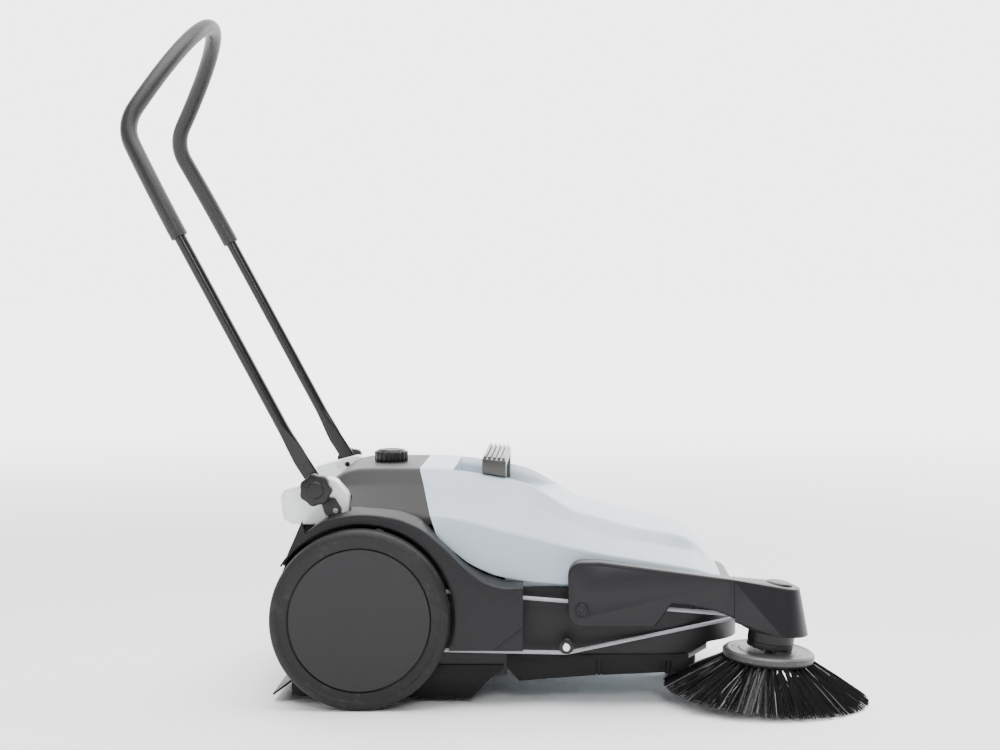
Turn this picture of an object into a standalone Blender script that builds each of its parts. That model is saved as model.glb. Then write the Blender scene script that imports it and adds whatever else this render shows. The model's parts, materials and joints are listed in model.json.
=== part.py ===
# Manual floor sweeper: two big wheels drive a round main broom and a tilted side broom by belts.
# Metres, +Z up. X runs forward, -Y is the side with the side broom.
# Sizes are given from the wheel axle: X = 0 at the axle, Y = 0 at the middle, Z = 0 at the floor.
# At the end one empty moves everything so that the middle of the whole machine stands over the origin.

import math

import bmesh
import bpy
from mathutils import Matrix, Vector

# Clearances and common sizes
GAP = 0.0003
SKIN = 0.004
TRIM = 0.003
RUNNING = 0.0015
RIGHT = -1
LEFT = 1

# Wheels and axle
WHEEL_RADIUS = 0.150
WHEEL_STEPS = 36
TREAD_FLAT = 0.024
TYRE_WIDTH = 0.040
TYRE_DEPTH = 0.022
TYRE_BORE = WHEEL_RADIUS - TYRE_DEPTH
COVER_RADIUS = TYRE_BORE - 0.010
AXLE_RADIUS = 0.008
AXLE_Z = WHEEL_RADIUS * math.cos(math.pi / WHEEL_STEPS)
AXLE = (0.0, AXLE_Z)

# Widths, from the main broom outward: side frames, hopper, side arm, belts, wheels and fenders
BROOM_HALF = 0.231
FRAME_IN = BROOM_HALF + 0.0073
FRAME_OUT = FRAME_IN + SKIN
BODY_HALF = FRAME_IN - GAP
HOPPER_HALF = FRAME_OUT + 0.0097
SIDE_IN = HOPPER_HALF + 0.006
SIDE_OUT = SIDE_IN + 0.042
BROOM_BELT_PLANE = HOPPER_HALF + 0.010
DRIVE_PLANE = HOPPER_HALF + 0.022
TYRE_IN = DRIVE_PLANE + 0.006
TYRE_OUT = TYRE_IN + TYRE_WIDTH
HUB_BARREL_IN = TYRE_IN - 0.010
FENDER_IN = HOPPER_HALF + GAP
FENDER_OUT = FENDER_IN + 0.0377
FENDER_SKIN_IN = FENDER_OUT - SKIN
PANEL_HALF = FENDER_SKIN_IN - 0.0005 - GAP * 2

# Chassis
FRAME_TOP = 0.300
BODY_TOP = 0.194
BODY_FRONT = 0.637
BODY_FRONT_TOP = 0.185
BODY_CORNER_X = 0.494
BODY_CORNER_Y = 0.127
FENDER_FRONT = 0.270
FENDER_BOTTOM = 0.095
ARCH_RADIUS = WHEEL_RADIUS + 0.006

# Main broom, its hood and its swing arms
BROOM_RADIUS = 0.123
BROOM_FLOOR_GAP = 0.003
BROOM_FORWARD = 0.095
BROOM_CORE = 0.050
BROOM_SHAFT = 0.008
BROOM = (BROOM_FORWARD, BROOM_RADIUS + BROOM_FLOOR_GAP)
BROOM_RAISE = math.radians(5.7)
HOOD_IN = BROOM_RADIUS + 0.014
HOOD_OUT = HOOD_IN + TRIM
ARM_IN = FRAME_OUT + 0.0034
ARM_OUT = ARM_IN + SKIN
LIFT_BAR = (0.026, 0.283)
LIFT_BAR_RADIUS = 0.008

# Height knob
KNOB_RADIUS = 0.030
KNOB_X = 0.026
KNOB_BASE = 0.3861
KNOB_HEIGHT = 0.021
KNOB_RIBS = 20
CRANK_ARM = 0.01075
CRANK_PIN = 0.003
SPINDLE_RADIUS = 0.006

# Belts
DRIVE_BELT = 0.0033
DRIVE_PITCH = 0.053
HEAD_PITCH = 0.028
BROOM_BELT = 0.0025
LEFT_PITCH = 0.042
BROOM_PITCH = 0.020
IDLER = (0.3422, 0.100)
IDLER_PITCH = 0.0105

# Hopper
CREST_HALF = 0.143
CREASE_HALF = 0.170
BIN_HALF = BODY_HALF - 0.007
BIN_REAR = 0.238
RECESS_HALF = 0.125
RECESS_FLOOR = 0.332
RECESS_REAR = 0.146
SEAM_TOP = (0.088, 0.383)
SEAM_FOOT = (0.1246, 0.280)
GRIP_REAR = 0.196
GRIP_FRONT = 0.237

# Side arm and side broom
ARM_PIVOT = (0.3675, 0.1653)
BOLT_RADIUS = 0.004
HEAD_INBOARD = 0.063
HEAD_FOOT = Vector((0.683, HEAD_INBOARD - SIDE_OUT, 0.083))
HEAD_LEAN = math.radians(8.4)
SPIN_LEAN = math.radians(4.4)
OUTWARD_LEAN = math.radians(3.0)
ARM_END = 0.622
CONE_LOW = 0.0605
CONE_TOP = 0.035
CONE_FOOT = 0.0410
CONE_HEIGHT = 0.1174
HEAD_CAP = 0.0227
SPINDLE_TOP = 0.098
SIDE_SPINDLE = 0.0075
NECK_RADIUS = 0.0395
NECK_FOOT = 0.0105
PULLEY_HEIGHT = 0.0658
DISC_RADIUS = 0.0776
DISC_HEIGHT = 0.012
SIDE_REACH = 0.1745
SIDE_FLOOR_GAP = 0.0012
SIDE_ROW = 51
STRAND = 0.0017

# Caster
CASTER_RADIUS = 0.035
CASTER_STEPS = 16
CASTER_TRAIL = 0.033
CASTER_X = 0.572
CASTER_Z = CASTER_RADIUS * math.cos(math.pi / CASTER_STEPS)
CASTER_PLATE = 0.078

# Handle
PIVOT = (-0.076, 0.361)
TUBE_RADIUS = 0.010
TUBE_WALL = 0.0015
EAR_OUT = HOPPER_HALF - 0.005
EAR_IN = EAR_OUT - 0.042
EAR_FRONT = -0.0252
TUBE_Y = EAR_OUT + TUBE_RADIUS + 0.001
HANDLE_CREASE = (-0.103, 0.408)
HANDLE_SHOULDER = (-0.408, 0.972)
HANDLE_TOP = (-0.300, 1.166)
HANDLE_FILLET = 0.070
BOW_LENGTH = 0.430
GRIP_RADIUS = 0.01465
STUD_RADIUS = 0.005
STAR_RADIUS = 0.0275
STAR_WAVE = 0.0013

# The outline curves of the hopper and the rear housing, height against X
CREST = (
    (-0.101, 0.309), (-0.080, 0.345), (-0.061, 0.368), (-0.036, 0.381), (-0.010, 0.385),
    (0.040, 0.3855), (0.107, 0.385), (0.163, 0.3815), (0.194, 0.377), (0.237, 0.3695),
    (0.264, 0.363), (0.301, 0.346), (0.320, 0.334), (0.338, 0.323), (0.357, 0.312),
    (0.400, 0.300), (0.450, 0.286), (0.487, 0.278), (0.540, 0.268), (0.565, 0.256),
    (0.590, 0.225), (0.609, 0.203),
)
CREASE = (
    (-0.101, 0.307), (-0.080, 0.330), (-0.061, 0.349), (-0.036, 0.358), (0.040, 0.362),
    (0.111, 0.361), (0.195, 0.349), (0.237, 0.341), (0.265, 0.334), (0.302, 0.317),
    (0.338, 0.300), (0.357, 0.292), (0.382, 0.2825), (0.413, 0.273), (0.455, 0.265),
    (0.496, 0.257), (0.540, 0.247), (0.565, 0.241), (0.590, 0.219), (0.609, 0.201),
)
BELLY = (
    (-0.101, 0.305), (-0.080, 0.316), (-0.061, 0.322), (-0.021, 0.3285), (0.014, 0.3268),
    (0.106, 0.317), (0.168, 0.3075), (0.202, 0.299), (0.240, 0.288), (0.277, 0.280),
    (0.315, 0.270), (0.356, 0.261), (0.399, 0.252), (0.450, 0.243), (0.500, 0.233),
    (0.540, 0.224), (0.565, 0.217), (0.590, 0.208), (0.609, 0.199),
)
RIM = (
    (0.088, 0.300), (0.1096, 0.292), (0.1246, 0.280), (0.1416, 0.265), (0.1595, 0.250),
    (0.177, 0.2365), (0.199, 0.225), (0.224, 0.215), (0.249, 0.2096), (0.285, 0.205),
    (0.346, 0.1995), (0.430, BODY_TOP + GAP), (0.609, BODY_TOP + GAP),
)
FENDER_EDGE = (
    (-0.1285, 0.2395), (-0.097, 0.312), (-0.0926, 0.291), (-0.055, 0.3126), (0.006, 0.321),
    (0.051, 0.316), (0.099, 0.298), (0.135, 0.269), (0.180, 0.226), (0.212, 0.206),
    (0.245, 0.199), (0.270, 0.200),
)
FENDER_RISE = (
    (-0.130, 0.0), (-0.0926, 0.0), (-0.055, 0.006), (-0.020, 0.0112), (0.015, 0.0084),
    (0.099, 0.012), (0.135, 0.003), (0.180, 0.006), (0.212, 0.010), (0.270, 0.006),
)
BIN_BASE = ((0.238, 0.088), (0.515, 0.088), (0.560, 0.110), (0.600, 0.178))

parts = bpy.data.collections.new("floor_sweeper")
cutters = bpy.data.collections.new("cutters")
empties = {}
pivots = {}


# Scene, materials and placing

def clear_scene():
    for obj in list(bpy.data.objects):
        bpy.data.objects.remove(obj, do_unlink=True)
    bpy.context.scene.collection.children.link(parts)
    bpy.context.scene.collection.children.link(cutters)


def material(name, color, roughness, metallic=0.0):
    made = bpy.data.materials.new(name)
    made.use_nodes = True
    shader = made.node_tree.nodes["Principled BSDF"]
    shader.inputs["Base Color"].default_value = (*color, 1.0)
    shader.inputs["Roughness"].default_value = roughness
    shader.inputs["Metallic"].default_value = metallic
    made.diffuse_color = (*color, 1.0)
    return made


def body(name, pivot, parent=None):
    """An empty at a joint, in the frame of the axle."""
    pivot = Vector(pivot)
    empty = bpy.data.objects.new(name + "_pivot", None)
    empty.empty_display_size = 0.03
    parts.objects.link(empty)
    if parent:
        empty.parent = empties[parent]
        empty.location = pivot - pivots[parent]
    empties[name] = empty
    pivots[name] = pivot


def piece(name, shape, finish, body_name, smooth=None):
    """Names a finished shape, gives it its material and hangs it on its joint's empty."""
    cutters.objects.unlink(shape)
    parts.objects.link(shape)
    shape.name = name
    shape.data.name = name
    shape.hide_render = False
    shape.display_type = "TEXTURED"
    shape.data.materials.clear()
    shape.data.materials.append(finish)
    if smooth:
        shape.data.shade_smooth()
        shape.data.set_sharp_from_angle(angle=math.radians(smooth))
    shape.parent = empties[body_name]
    shape.location = -pivots[body_name]
    return shape


# Shape tools

def helper(mesh, name="shape"):
    obj = bpy.data.objects.new(name, mesh)
    cutters.objects.link(obj)
    obj.hide_render = True
    obj.display_type = "WIRE"
    return obj


def from_bmesh(bm):
    mesh = bpy.data.meshes.new("shape")
    bm.to_mesh(mesh)
    bm.free()
    return helper(mesh)


def settled(obj, weld=True):
    """The object as its modifiers leave it, as a plain mesh in the frame of the axle."""
    bpy.context.view_layer.update()
    graph = bpy.context.evaluated_depsgraph_get()
    mesh = bpy.data.meshes.new_from_object(obj.evaluated_get(graph))
    mesh.transform(obj.matrix_world)
    if weld:
        bm = bmesh.new()
        bm.from_mesh(mesh)
        bmesh.ops.remove_doubles(bm, verts=bm.verts, dist=0.000002)
        bm.to_mesh(mesh)
        bm.free()
    bpy.data.objects.remove(obj, do_unlink=True)
    return helper(mesh)


def box(low, high):
    low = Vector(low)
    high = Vector(high)
    bm = bmesh.new()
    bmesh.ops.create_cube(bm, size=1.0)
    bmesh.ops.scale(bm, vec=high - low, verts=bm.verts)
    bmesh.ops.translate(bm, vec=(low + high) / 2, verts=bm.verts)
    return from_bmesh(bm)


def rod(start, end, radius, end_radius=None, sides=24):
    """A cylinder or cone from one point to another."""
    start = Vector(start)
    end = Vector(end)
    turn = (end - start).to_track_quat("Z", "Y").to_matrix().to_4x4()
    bm = bmesh.new()
    bmesh.ops.create_cone(
        bm, cap_ends=True, segments=sides, radius1=radius,
        radius2=radius if end_radius is None else end_radius, depth=(end - start).length,
        matrix=Matrix.Translation((start + end) / 2) @ turn,
    )
    return from_bmesh(bm)


def cross_rod(at, y0, y1, radius, sides=24):
    """A rod across the machine at a point (x, z)."""
    return rod((at[0], y0, at[1]), (at[0], y1, at[1]), radius, sides=sides)


def curve_object(splines, cyclic, dimensions="3D"):
    curve = bpy.data.curves.new("line", "CURVE")
    curve.dimensions = dimensions
    for points in splines:
        spline = curve.splines.new("POLY")
        spline.points.add(len(points) - 1)
        for point, place in zip(spline.points, points):
            point.co = (*place, 1.0) if len(place) == 3 else (*place, 0.0, 1.0)
        spline.use_cyclic_u = cyclic
    obj = bpy.data.objects.new("line", curve)
    cutters.objects.link(obj)
    return obj


def slab(outline, low, high, turn=None):
    """A flat outline made thick, from low to high along its own third axis."""
    obj = curve_object([outline], True, "2D")
    obj.data.fill_mode = "BOTH"
    obj.data.extrude = (high - low) / 2
    obj.matrix_world = (turn or Matrix()) @ Matrix.Translation((0.0, 0.0, (low + high) / 2))
    return settled(obj)


def plate(outline, y0, y1):
    """An outline of (x, z) points made thick across the machine, from y0 to y1."""
    return slab(outline, -max(y0, y1), -min(y0, y1), Matrix.Rotation(math.pi / 2, 4, "X"))


def tube(points, radius, cyclic=False, resolution=2):
    obj = curve_object([points], cyclic)
    obj.data.bevel_depth = radius
    obj.data.bevel_resolution = resolution
    obj.data.use_fill_caps = not cyclic
    return settled(obj)


def turned(profile, steps, place=None, closed=True):
    """A profile of (radius, height) points turned round +Z, then placed."""
    mesh = bpy.data.meshes.new("profile")
    edges = [(i, i + 1) for i in range(len(profile) - 1)]
    if closed:
        edges.append((len(profile) - 1, 0))
    mesh.from_pydata([(r, 0.0, z) for r, z in profile], edges, [])
    obj = helper(mesh)
    screw = obj.modifiers.new("turn", "SCREW")
    screw.steps = steps
    screw.render_steps = steps
    screw.use_merge_vertices = True
    screw.merge_threshold = 0.00001
    obj.matrix_world = place or Matrix()
    return settled(obj)


def loft(sections):
    """Walls between closed sections with as many points each, and a cap on both ends."""
    bm = bmesh.new()
    rings = [[bm.verts.new(point) for point in section] for section in sections]
    for near, far in zip(rings, rings[1:]):
        for i in range(len(near)):
            j = (i + 1) % len(near)
            bm.faces.new((near[i], near[j], far[j], far[i]))
    bm.faces.new(rings[0][::-1])
    bm.faces.new(rings[-1])
    bmesh.ops.triangulate(bm, faces=bm.faces)
    bmesh.ops.recalc_face_normals(bm, faces=bm.faces)
    return from_bmesh(bm)


def combine(target, others, operation, solver):
    for other in others:
        step = target.modifiers.new(operation.lower(), "BOOLEAN")
        step.operation = operation
        step.solver = solver
        step.object = other
        target = settled(target, weld=False)
    return target


def cut(target, *others, solver="EXACT"):
    return combine(target, others, "DIFFERENCE", solver)


def join(target, *others, solver="EXACT"):
    return combine(target, others, "UNION", solver)


def rounded(shape, width, segments=2, angle=40):
    step = shape.modifiers.new("round", "BEVEL")
    step.width = width
    step.segments = segments
    step.limit_method = "ANGLE"
    step.angle_limit = math.radians(angle)
    return settled(shape)


def arc(center, radius, start, end, count):
    """Points on an arc, angles in degrees."""
    angles = [math.radians(start + (end - start) * i / (count - 1)) for i in range(count)]
    return [(center[0] + radius * math.cos(a), center[1] + radius * math.sin(a)) for a in angles]


def lerp(table, x):
    """The height of an outline curve at x."""
    if x <= table[0][0]:
        return table[0][1]
    for (x0, z0), (x1, z1) in zip(table, table[1:]):
        if x <= x1:
            return z0 + (z1 - z0) * (x - x0) / (x1 - x0)
    return table[-1][1]


def link(a, radius_a, b, radius_b, count=7):
    """The outline of a flat link: two round ends and their common tangents."""
    direction = math.degrees(math.atan2(b[1] - a[1], b[0] - a[0]))
    spread = math.degrees(math.acos((radius_a - radius_b) / math.dist(a, b)))
    first = arc(a, radius_a, direction + spread, direction + 360 - spread, count)
    return first + arc(b, radius_b, direction - spread, direction + spread, count)


def arc_slot(center, radius, start, end, half_width, count=3):
    """The outline of a slot that follows an arc, with round ends. Angles in degrees."""
    inner = arc(center, radius - half_width, end, start, count)
    outer = arc(center, radius + half_width, start, end, count)
    near = arc(center, radius, start, start, 2)[0]
    far = arc(center, radius, end, end, 2)[0]
    near_end = arc(near, half_width, start + 180, start + 360, 6)[1:-1]
    far_end = arc(far, half_width, end, end + 180, 6)[1:-1]
    return outer + far_end + inner + near_end


def polar(center, point):
    """Distance and angle in degrees of a point from a center."""
    angle = math.degrees(math.atan2(point[1] - center[1], point[0] - center[0]))
    return math.dist(center, point), angle


def side_matrix(side, at, steps):
    """Turns +Z to point outward on a side, with a flat of the turned shape at the bottom."""
    tilt = Matrix.Rotation(math.pi / 2 * -side, 4, "X")
    place = Matrix.Translation((at[0], 0.0, at[1]))
    return place @ tilt @ Matrix.Rotation(math.pi / steps, 4, "Z")


def ends(side, near, far):
    """Low and high Y of a stretch that is mirrored to a side."""
    return (side * far, side * near) if side < 0 else (side * near, side * far)


def side_box(side, x0, x1, near, far, z0, z1):
    y0, y1 = ends(side, near, far)
    return box((x0, y0, z0), (x1, y1, z1))


def name_of(side):
    return "right" if side == RIGHT else "left"


# Tilted frames of the side broom's head and of its spindle

def lean_matrix(forward):
    axis = Vector((math.sin(forward), -math.sin(OUTWARD_LEAN), 1.0)).normalized()
    turn = Vector((0.0, 0.0, 1.0)).rotation_difference(axis).to_matrix().to_4x4()
    return Matrix.Translation(HEAD_FOOT) @ turn


head_frame = lean_matrix(HEAD_LEAN)
spin_frame = lean_matrix(SPIN_LEAN)


def on_head(height):
    """A point on the axis of the cone-shaped head."""
    return head_frame @ Vector((0.0, 0.0, height))


def on_spin(height):
    """A point on the axis that the side broom turns about."""
    return spin_frame @ Vector((0.0, 0.0, height))


def make_wheels(black, rubber, grey, steel):
    for side in (RIGHT, LEFT):
        where = name_of(side)
        group = "wheel_" + where
        place = side_matrix(side, AXLE, WHEEL_STEPS)
        middle = (TYRE_IN + TYRE_OUT) / 2
        shoulder = WHEEL_RADIUS - 0.006
        tyre = turned([
            (TYRE_BORE, TYRE_OUT), (shoulder - 0.003, TYRE_OUT), (shoulder + 0.0015, TYRE_OUT - 0.004),
            (WHEEL_RADIUS, middle + TREAD_FLAT / 2), (WHEEL_RADIUS, middle - TREAD_FLAT / 2),
            (shoulder, TYRE_IN), (TYRE_BORE, TYRE_IN),
        ], WHEEL_STEPS, place)
        piece("tyre_" + where, tyre, rubber, group, 30)
        rim = TYRE_BORE - GAP * 2
        seat = COVER_RADIUS + 0.003
        bore = AXLE_RADIUS + GAP
        face = TYRE_OUT - 0.003
        hub = turned([
            (rim, face), (rim, TYRE_IN + 0.003), (seat, TYRE_IN + 0.003), (seat, face - 0.014),
            (0.022, face - 0.014), (0.022, HUB_BARREL_IN), (bore, HUB_BARREL_IN), (bore, face - 0.0065),
            (seat, face - 0.0065), (seat, face),
        ], 20, side_matrix(side, AXLE, 20))
        piece("wheel_hub_" + where, hub, black, group, 30)
        cover = turned([
            (0.0, face), (COVER_RADIUS - 0.002, face), (COVER_RADIUS, face - 0.0015),
            (seat - GAP, face - 0.0025), (seat - GAP, face - 0.0057), (0.0, face - 0.0057),
        ], 20, side_matrix(side, AXLE, 20), closed=False)
        piece("hub_cover_" + where, cover, grey, group, 30)
        washer = DRIVE_PLANE - 0.0085 if side == RIGHT else BROOM_BELT_PLANE - 0.0065
        axle = turned([
            (0.0, face - 0.007), (AXLE_RADIUS, face - 0.007),
            (AXLE_RADIUS, washer), (0.012, washer), (0.012, ARM_OUT + GAP),
            (AXLE_RADIUS, ARM_OUT + GAP), (AXLE_RADIUS, FRAME_IN - GAP), (0.016, FRAME_IN - GAP),
            (0.016, BROOM_HALF + 0.003), (0.0, BROOM_HALF + 0.003),
        ], 12, side_matrix(side, AXLE, 12), closed=False)
        piece("axle_" + where, axle, steel, "chassis", 30)


def pulley_profile(pitch, belt, slack, low, high, flange, bore):
    """A round belt's pulley, its groove at the middle of its height."""
    middle = (low + high) / 2
    bottom = pitch - belt - slack
    return [
        (flange, high), (flange, middle + belt + 0.0018), (bottom, middle + belt + 0.0006),
        (bottom, middle - belt - 0.0006), (flange, middle - belt - 0.0018), (flange, low),
        (bore, low), (bore, high),
    ]


def make_pulleys(black):
    bore = AXLE_RADIUS + GAP
    seat = HUB_BARREL_IN - GAP
    drive = pulley_profile(DRIVE_PITCH, DRIVE_BELT, 0.001, DRIVE_PLANE - 0.0080, HUB_BARREL_IN + 0.0105,
                           DRIVE_PITCH + 0.004, bore)
    around = 0.022 + GAP * 2
    drive[-1:] = [(bore, seat), (around, seat), (around, HUB_BARREL_IN + 0.0105)]
    made = turned(drive, 20, side_matrix(RIGHT, AXLE, 20))
    piece("side_broom_drive_pulley", made, black, "wheel_right", 30)
    low = BROOM_BELT_PLANE - 0.006
    high = BROOM_BELT_PLANE + 0.006
    left = pulley_profile(LEFT_PITCH, BROOM_BELT, 0.0008, low, high, LEFT_PITCH + 0.004, bore)
    left[-1:] = [(bore, seat), (0.020, seat), (0.020, high)]
    made = turned(left, 20, side_matrix(LEFT, AXLE, 20))
    piece("main_broom_drive_pulley", made, black, "wheel_left", 30)
    shaft = BROOM_SHAFT + GAP
    broom = turned(
        pulley_profile(BROOM_PITCH, BROOM_BELT, 0.0006, low, high, BROOM_PITCH + 0.004, shaft),
        16, side_matrix(LEFT, BROOM, 16))
    piece("broom_pulley", broom, black, "main_broom", 30)


def frame_slots():
    """Cutters for the holes that the axle, the broom shaft and the lift bar need in a side frame."""
    broom_radius, broom_angle = polar(AXLE, BROOM)
    bar_radius, bar_angle = polar(AXLE, LIFT_BAR)
    swing = math.degrees(BROOM_RAISE)
    broom_slot = arc_slot(AXLE, broom_radius, broom_angle - 0.3, broom_angle + swing + 0.3,
                          BROOM_SHAFT + RUNNING)
    bar_slot = arc_slot(AXLE, bar_radius, bar_angle - 0.3, bar_angle + swing + 0.3,
                        LIFT_BAR_RADIUS + RUNNING)
    return broom_slot, bar_slot


def make_side_frames(dark):
    broom_slot, bar_slot = frame_slots()
    outline = [
        (-0.1442, 0.175), (-0.1460, 0.110), (-0.1255, 0.062), (-0.115, 0.045), (0.242, 0.045), (0.242, 0.193),
        (0.222, 0.2122), (0.198, 0.222), (0.176, 0.2338), (0.1585, 0.2473), (0.1400, 0.263),
        (0.123, 0.278), (0.107, FRAME_TOP), (-0.0965, FRAME_TOP), (-0.1272, 0.228),
    ]
    for side in (RIGHT, LEFT):
        where = name_of(side)
        low, high = ends(side, FRAME_IN, FRAME_OUT)
        frame = plate(outline, low, high)
        frame = cut(
            frame,
            cross_rod(AXLE, low - SKIN, high + SKIN, AXLE_RADIUS + GAP),
            plate(broom_slot, low - SKIN, high + SKIN),
            plate(bar_slot, low - SKIN, high + SKIN),
        )
        piece("side_frame_" + where, frame, dark, "chassis")


def fender_section(side, x, near, far, drop, foot):
    """A fender's cross-section at x: the sloping shelf on top and straight walls down to the foot."""
    top = lerp(FENDER_EDGE, x)
    slope = lerp(FENDER_RISE, x) / (FENDER_OUT - FENDER_IN)
    heights = (top + slope * (FENDER_OUT - far) - drop, top + slope * (FENDER_OUT - near) - drop)
    corners = [(far, foot), (far, heights[0]), (near, heights[1]), (near, foot)]
    return [(x, side * y, z) for y, z in corners]


def make_fenders(dark):
    stations = sorted([x for x, z in FENDER_EDGE] + [-0.020, 0.015])
    for side in (RIGHT, LEFT):
        outer = loft([fender_section(side, x, FENDER_IN, FENDER_OUT, 0.0, FENDER_BOTTOM) for x in stations])
        hollow = [stations[0] - 0.010] + stations[1:-1] + [FENDER_FRONT + 0.010]
        inner = loft([
            fender_section(side, x, FENDER_IN - 0.010, FENDER_SKIN_IN, SKIN, FENDER_BOTTOM - 0.010)
            for x in hollow
        ])
        y0, y1 = ends(side, FENDER_IN - 0.022, FENDER_OUT + 0.010)
        fender = cut(
            outer, inner,
            cross_rod(AXLE, y0, y1, ARCH_RADIUS, sides=48),
            side_box(side, -0.150, -0.018, FENDER_IN - 0.012, TUBE_Y + TUBE_RADIUS + 0.001, 0.200, 0.360),
            side_box(side, -0.150, -0.088, FENDER_IN - 0.012, FENDER_SKIN_IN - GAP, 0.200, 0.360),
        )
        piece("fender_" + name_of(side), fender, dark, "chassis")


def body_station(t, mirror):
    """Outer point, inward direction, top height, foot height and lip width of the front body's U.
    t runs from 0 at the rear end of a side to 1 at the end of the corner and on to 2 at the middle."""
    straight = BODY_CORNER_X - 0.226
    flat = BODY_HALF - BODY_CORNER_Y
    depth = BODY_FRONT - BODY_CORNER_X
    if t < 0.5:
        x, y = 0.226 + straight * t * 2, BODY_HALF
        inward = Vector((0.0, -1.0))
        share = 0.0
    elif t <= 1.0:
        angle = (t - 0.5) * math.pi
        x = BODY_CORNER_X + depth * math.sin(angle)
        y = flat + BODY_CORNER_Y * math.cos(angle)
        inward = -Vector((math.sin(angle) / depth, math.cos(angle) / BODY_CORNER_Y)).normalized()
        share = math.sin(angle) ** 2
    else:
        x, y = BODY_FRONT, flat * (2.0 - t)
        inward = Vector((-1.0, 0.0))
        share = 1.0
    rise = min(max((x - 0.521) / 0.025, 0.0), 1.0)
    top = BODY_TOP + (BODY_FRONT_TOP - BODY_TOP) * rise
    foot = 0.076 + 0.021 * min(max((x - 0.540) / 0.045, 0.0), 1.0)
    return (x, mirror * y), (inward.x, mirror * inward.y), top, foot, SKIN + 0.0008 + 0.0177 * share


def make_front_body(dark):
    steps = [0.0, 0.45, 0.5, 0.56, 0.62, 0.68, 0.74, 0.80, 0.86, 0.92, 0.97, 1.0, 1.5]
    path = [(t, -1) for t in steps] + [(2.0, 1)] + [(t, 1) for t in reversed(steps)]
    sections = []
    for t, mirror in path:
        at, inward, top, foot, lip = body_station(t, mirror)
        curl = max(lip - 0.0045, 0.0012)
        shape = [(0.0, foot), (0.0, top - curl), (curl * 0.3, top - curl * 0.35), (curl, top), (lip, top)]
        shape += [(lip, top - 0.0038), (SKIN, top - max(curl, 0.004) - 0.0015), (SKIN, foot)]
        sections.append([(at[0] + inward[0] * d, at[1] + inward[1] * d, z) for d, z in shape])
    piece("front_body", loft(sections), dark, "chassis", 35)


def make_rear_panel(dark, rubber):
    skin = TRIM
    outer = [(-0.1022, FRAME_TOP), (-0.1335, 0.227), (-0.1475, 0.178), (-0.1495, 0.110), (-0.1290, 0.062)]
    inner = [(x + skin, z) for x, z in reversed(outer)]
    panel = plate(outer + inner, -PANEL_HALF, PANEL_HALF)
    for side in (RIGHT, LEFT):
        y0, y1 = ends(side, FRAME_OUT + 0.004, PANEL_HALF + 0.010)
        panel = cut(panel, box((-0.200, y0, 0.020), (-0.050, y1, 0.236)))
    piece("rear_panel", panel, dark, "chassis")
    foot = (-0.118, 0.040)
    flap = plate([
        (foot[0] - 0.0010, foot[1] - 0.0006), (-0.1545, 0.0125), (-0.1527, 0.0100),
        (foot[0] + 0.0012, foot[1] - 0.0036),
    ], -BROOM_HALF - 0.001, BROOM_HALF + 0.001)
    piece("rear_flap", flap, rubber, "chassis")


def make_hood(dark):
    center = BROOM
    outer = arc(center, HOOD_OUT, 25, 190, 16)
    inner = arc(center, HOOD_IN, 190, 25, 16)
    foot = (-0.118, 0.040)
    lower = [(foot[0] - 0.0015, foot[1]), (foot[0] + 0.0015, foot[1])]
    half = FRAME_IN - GAP
    piece("broom_hood", plate(outer + lower + inner, -half, half), dark, "chassis", 30)
    inside = BODY_HALF - SKIN - GAP
    lip = plate([(0.2355, 0.091), (0.189, 0.0255), (0.1905, 0.0225), (0.2370, 0.0870)], -inside, inside)
    return lip


def make_skirts(rubber):
    for side in (RIGHT, LEFT):
        where = name_of(side)
        near = FRAME_OUT + GAP
        skirt = plate(
            [(-0.120, 0.012), (0.183, 0.009), (0.208, 0.035), (0.237, 0.058), (0.237, 0.064),
             (-0.112, 0.064), (-0.120, 0.035)],
            *ends(side, near, near + TRIM))
        piece("side_skirt_" + where, skirt, rubber, "chassis")
        front = plate(
            [(0.246, 0.060), (0.262, 0.036), (0.382, 0.045), (0.520, 0.051), (0.548, 0.055), (0.548, 0.081),
             (0.246, 0.081)],
            *ends(side, FRAME_IN, FRAME_IN + TRIM))
        slits = (0.392, 0.400, 0.510, 0.517)
        inner, outer = FRAME_IN - 0.008, FRAME_IN + 0.012
        slots = [side_box(side, x, x + 0.002, inner, outer, 0.020, 0.070) for x in slits]
        piece("front_skirt_" + where, cut(front, *slots), rubber, "chassis")


def section_points(x, scale, drop, foot, belly_half, crest_half=CREST_HALF, top_limit=None):
    """A half section of hopper or housing, from the top middle round to the bottom middle, mirrored."""
    crest = lerp(CREST, x) - drop
    crease = min(lerp(CREASE, x), lerp(CREST, x) - 0.001) - drop
    belly = min(lerp(BELLY, x) - drop, crease - 0.001)
    if top_limit is not None:
        crest = min(crest, top_limit)
        crease = min(crease, top_limit - 0.0005)
        belly = min(belly, top_limit - 0.001)
    foot = min(foot, belly - 0.002)
    narrow = CREST_HALF - crest_half
    half = [
        (0.0, crest), (crest_half * scale, crest), ((CREASE_HALF - narrow) * scale, crease),
        ((belly_half - 0.006) * scale, belly), (belly_half * scale, min(foot + 0.010, belly - 0.001)),
        (belly_half * scale, foot), (0.0, foot),
    ]
    mirrored = [(-y, z) for y, z in reversed(half[1:-1])]
    return [(x, y, z) for y, z in half + mirrored]


def plan_scale(x):
    """How much narrower the hopper's nose gets, seen from above."""
    if x <= 0.400:
        return 1.0
    corner = 0.130
    share = min((x - 0.400) / 0.2115, 0.9995)
    return (HOPPER_HALF - corner + corner * math.sqrt(1 - share * share)) / HOPPER_HALF


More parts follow.
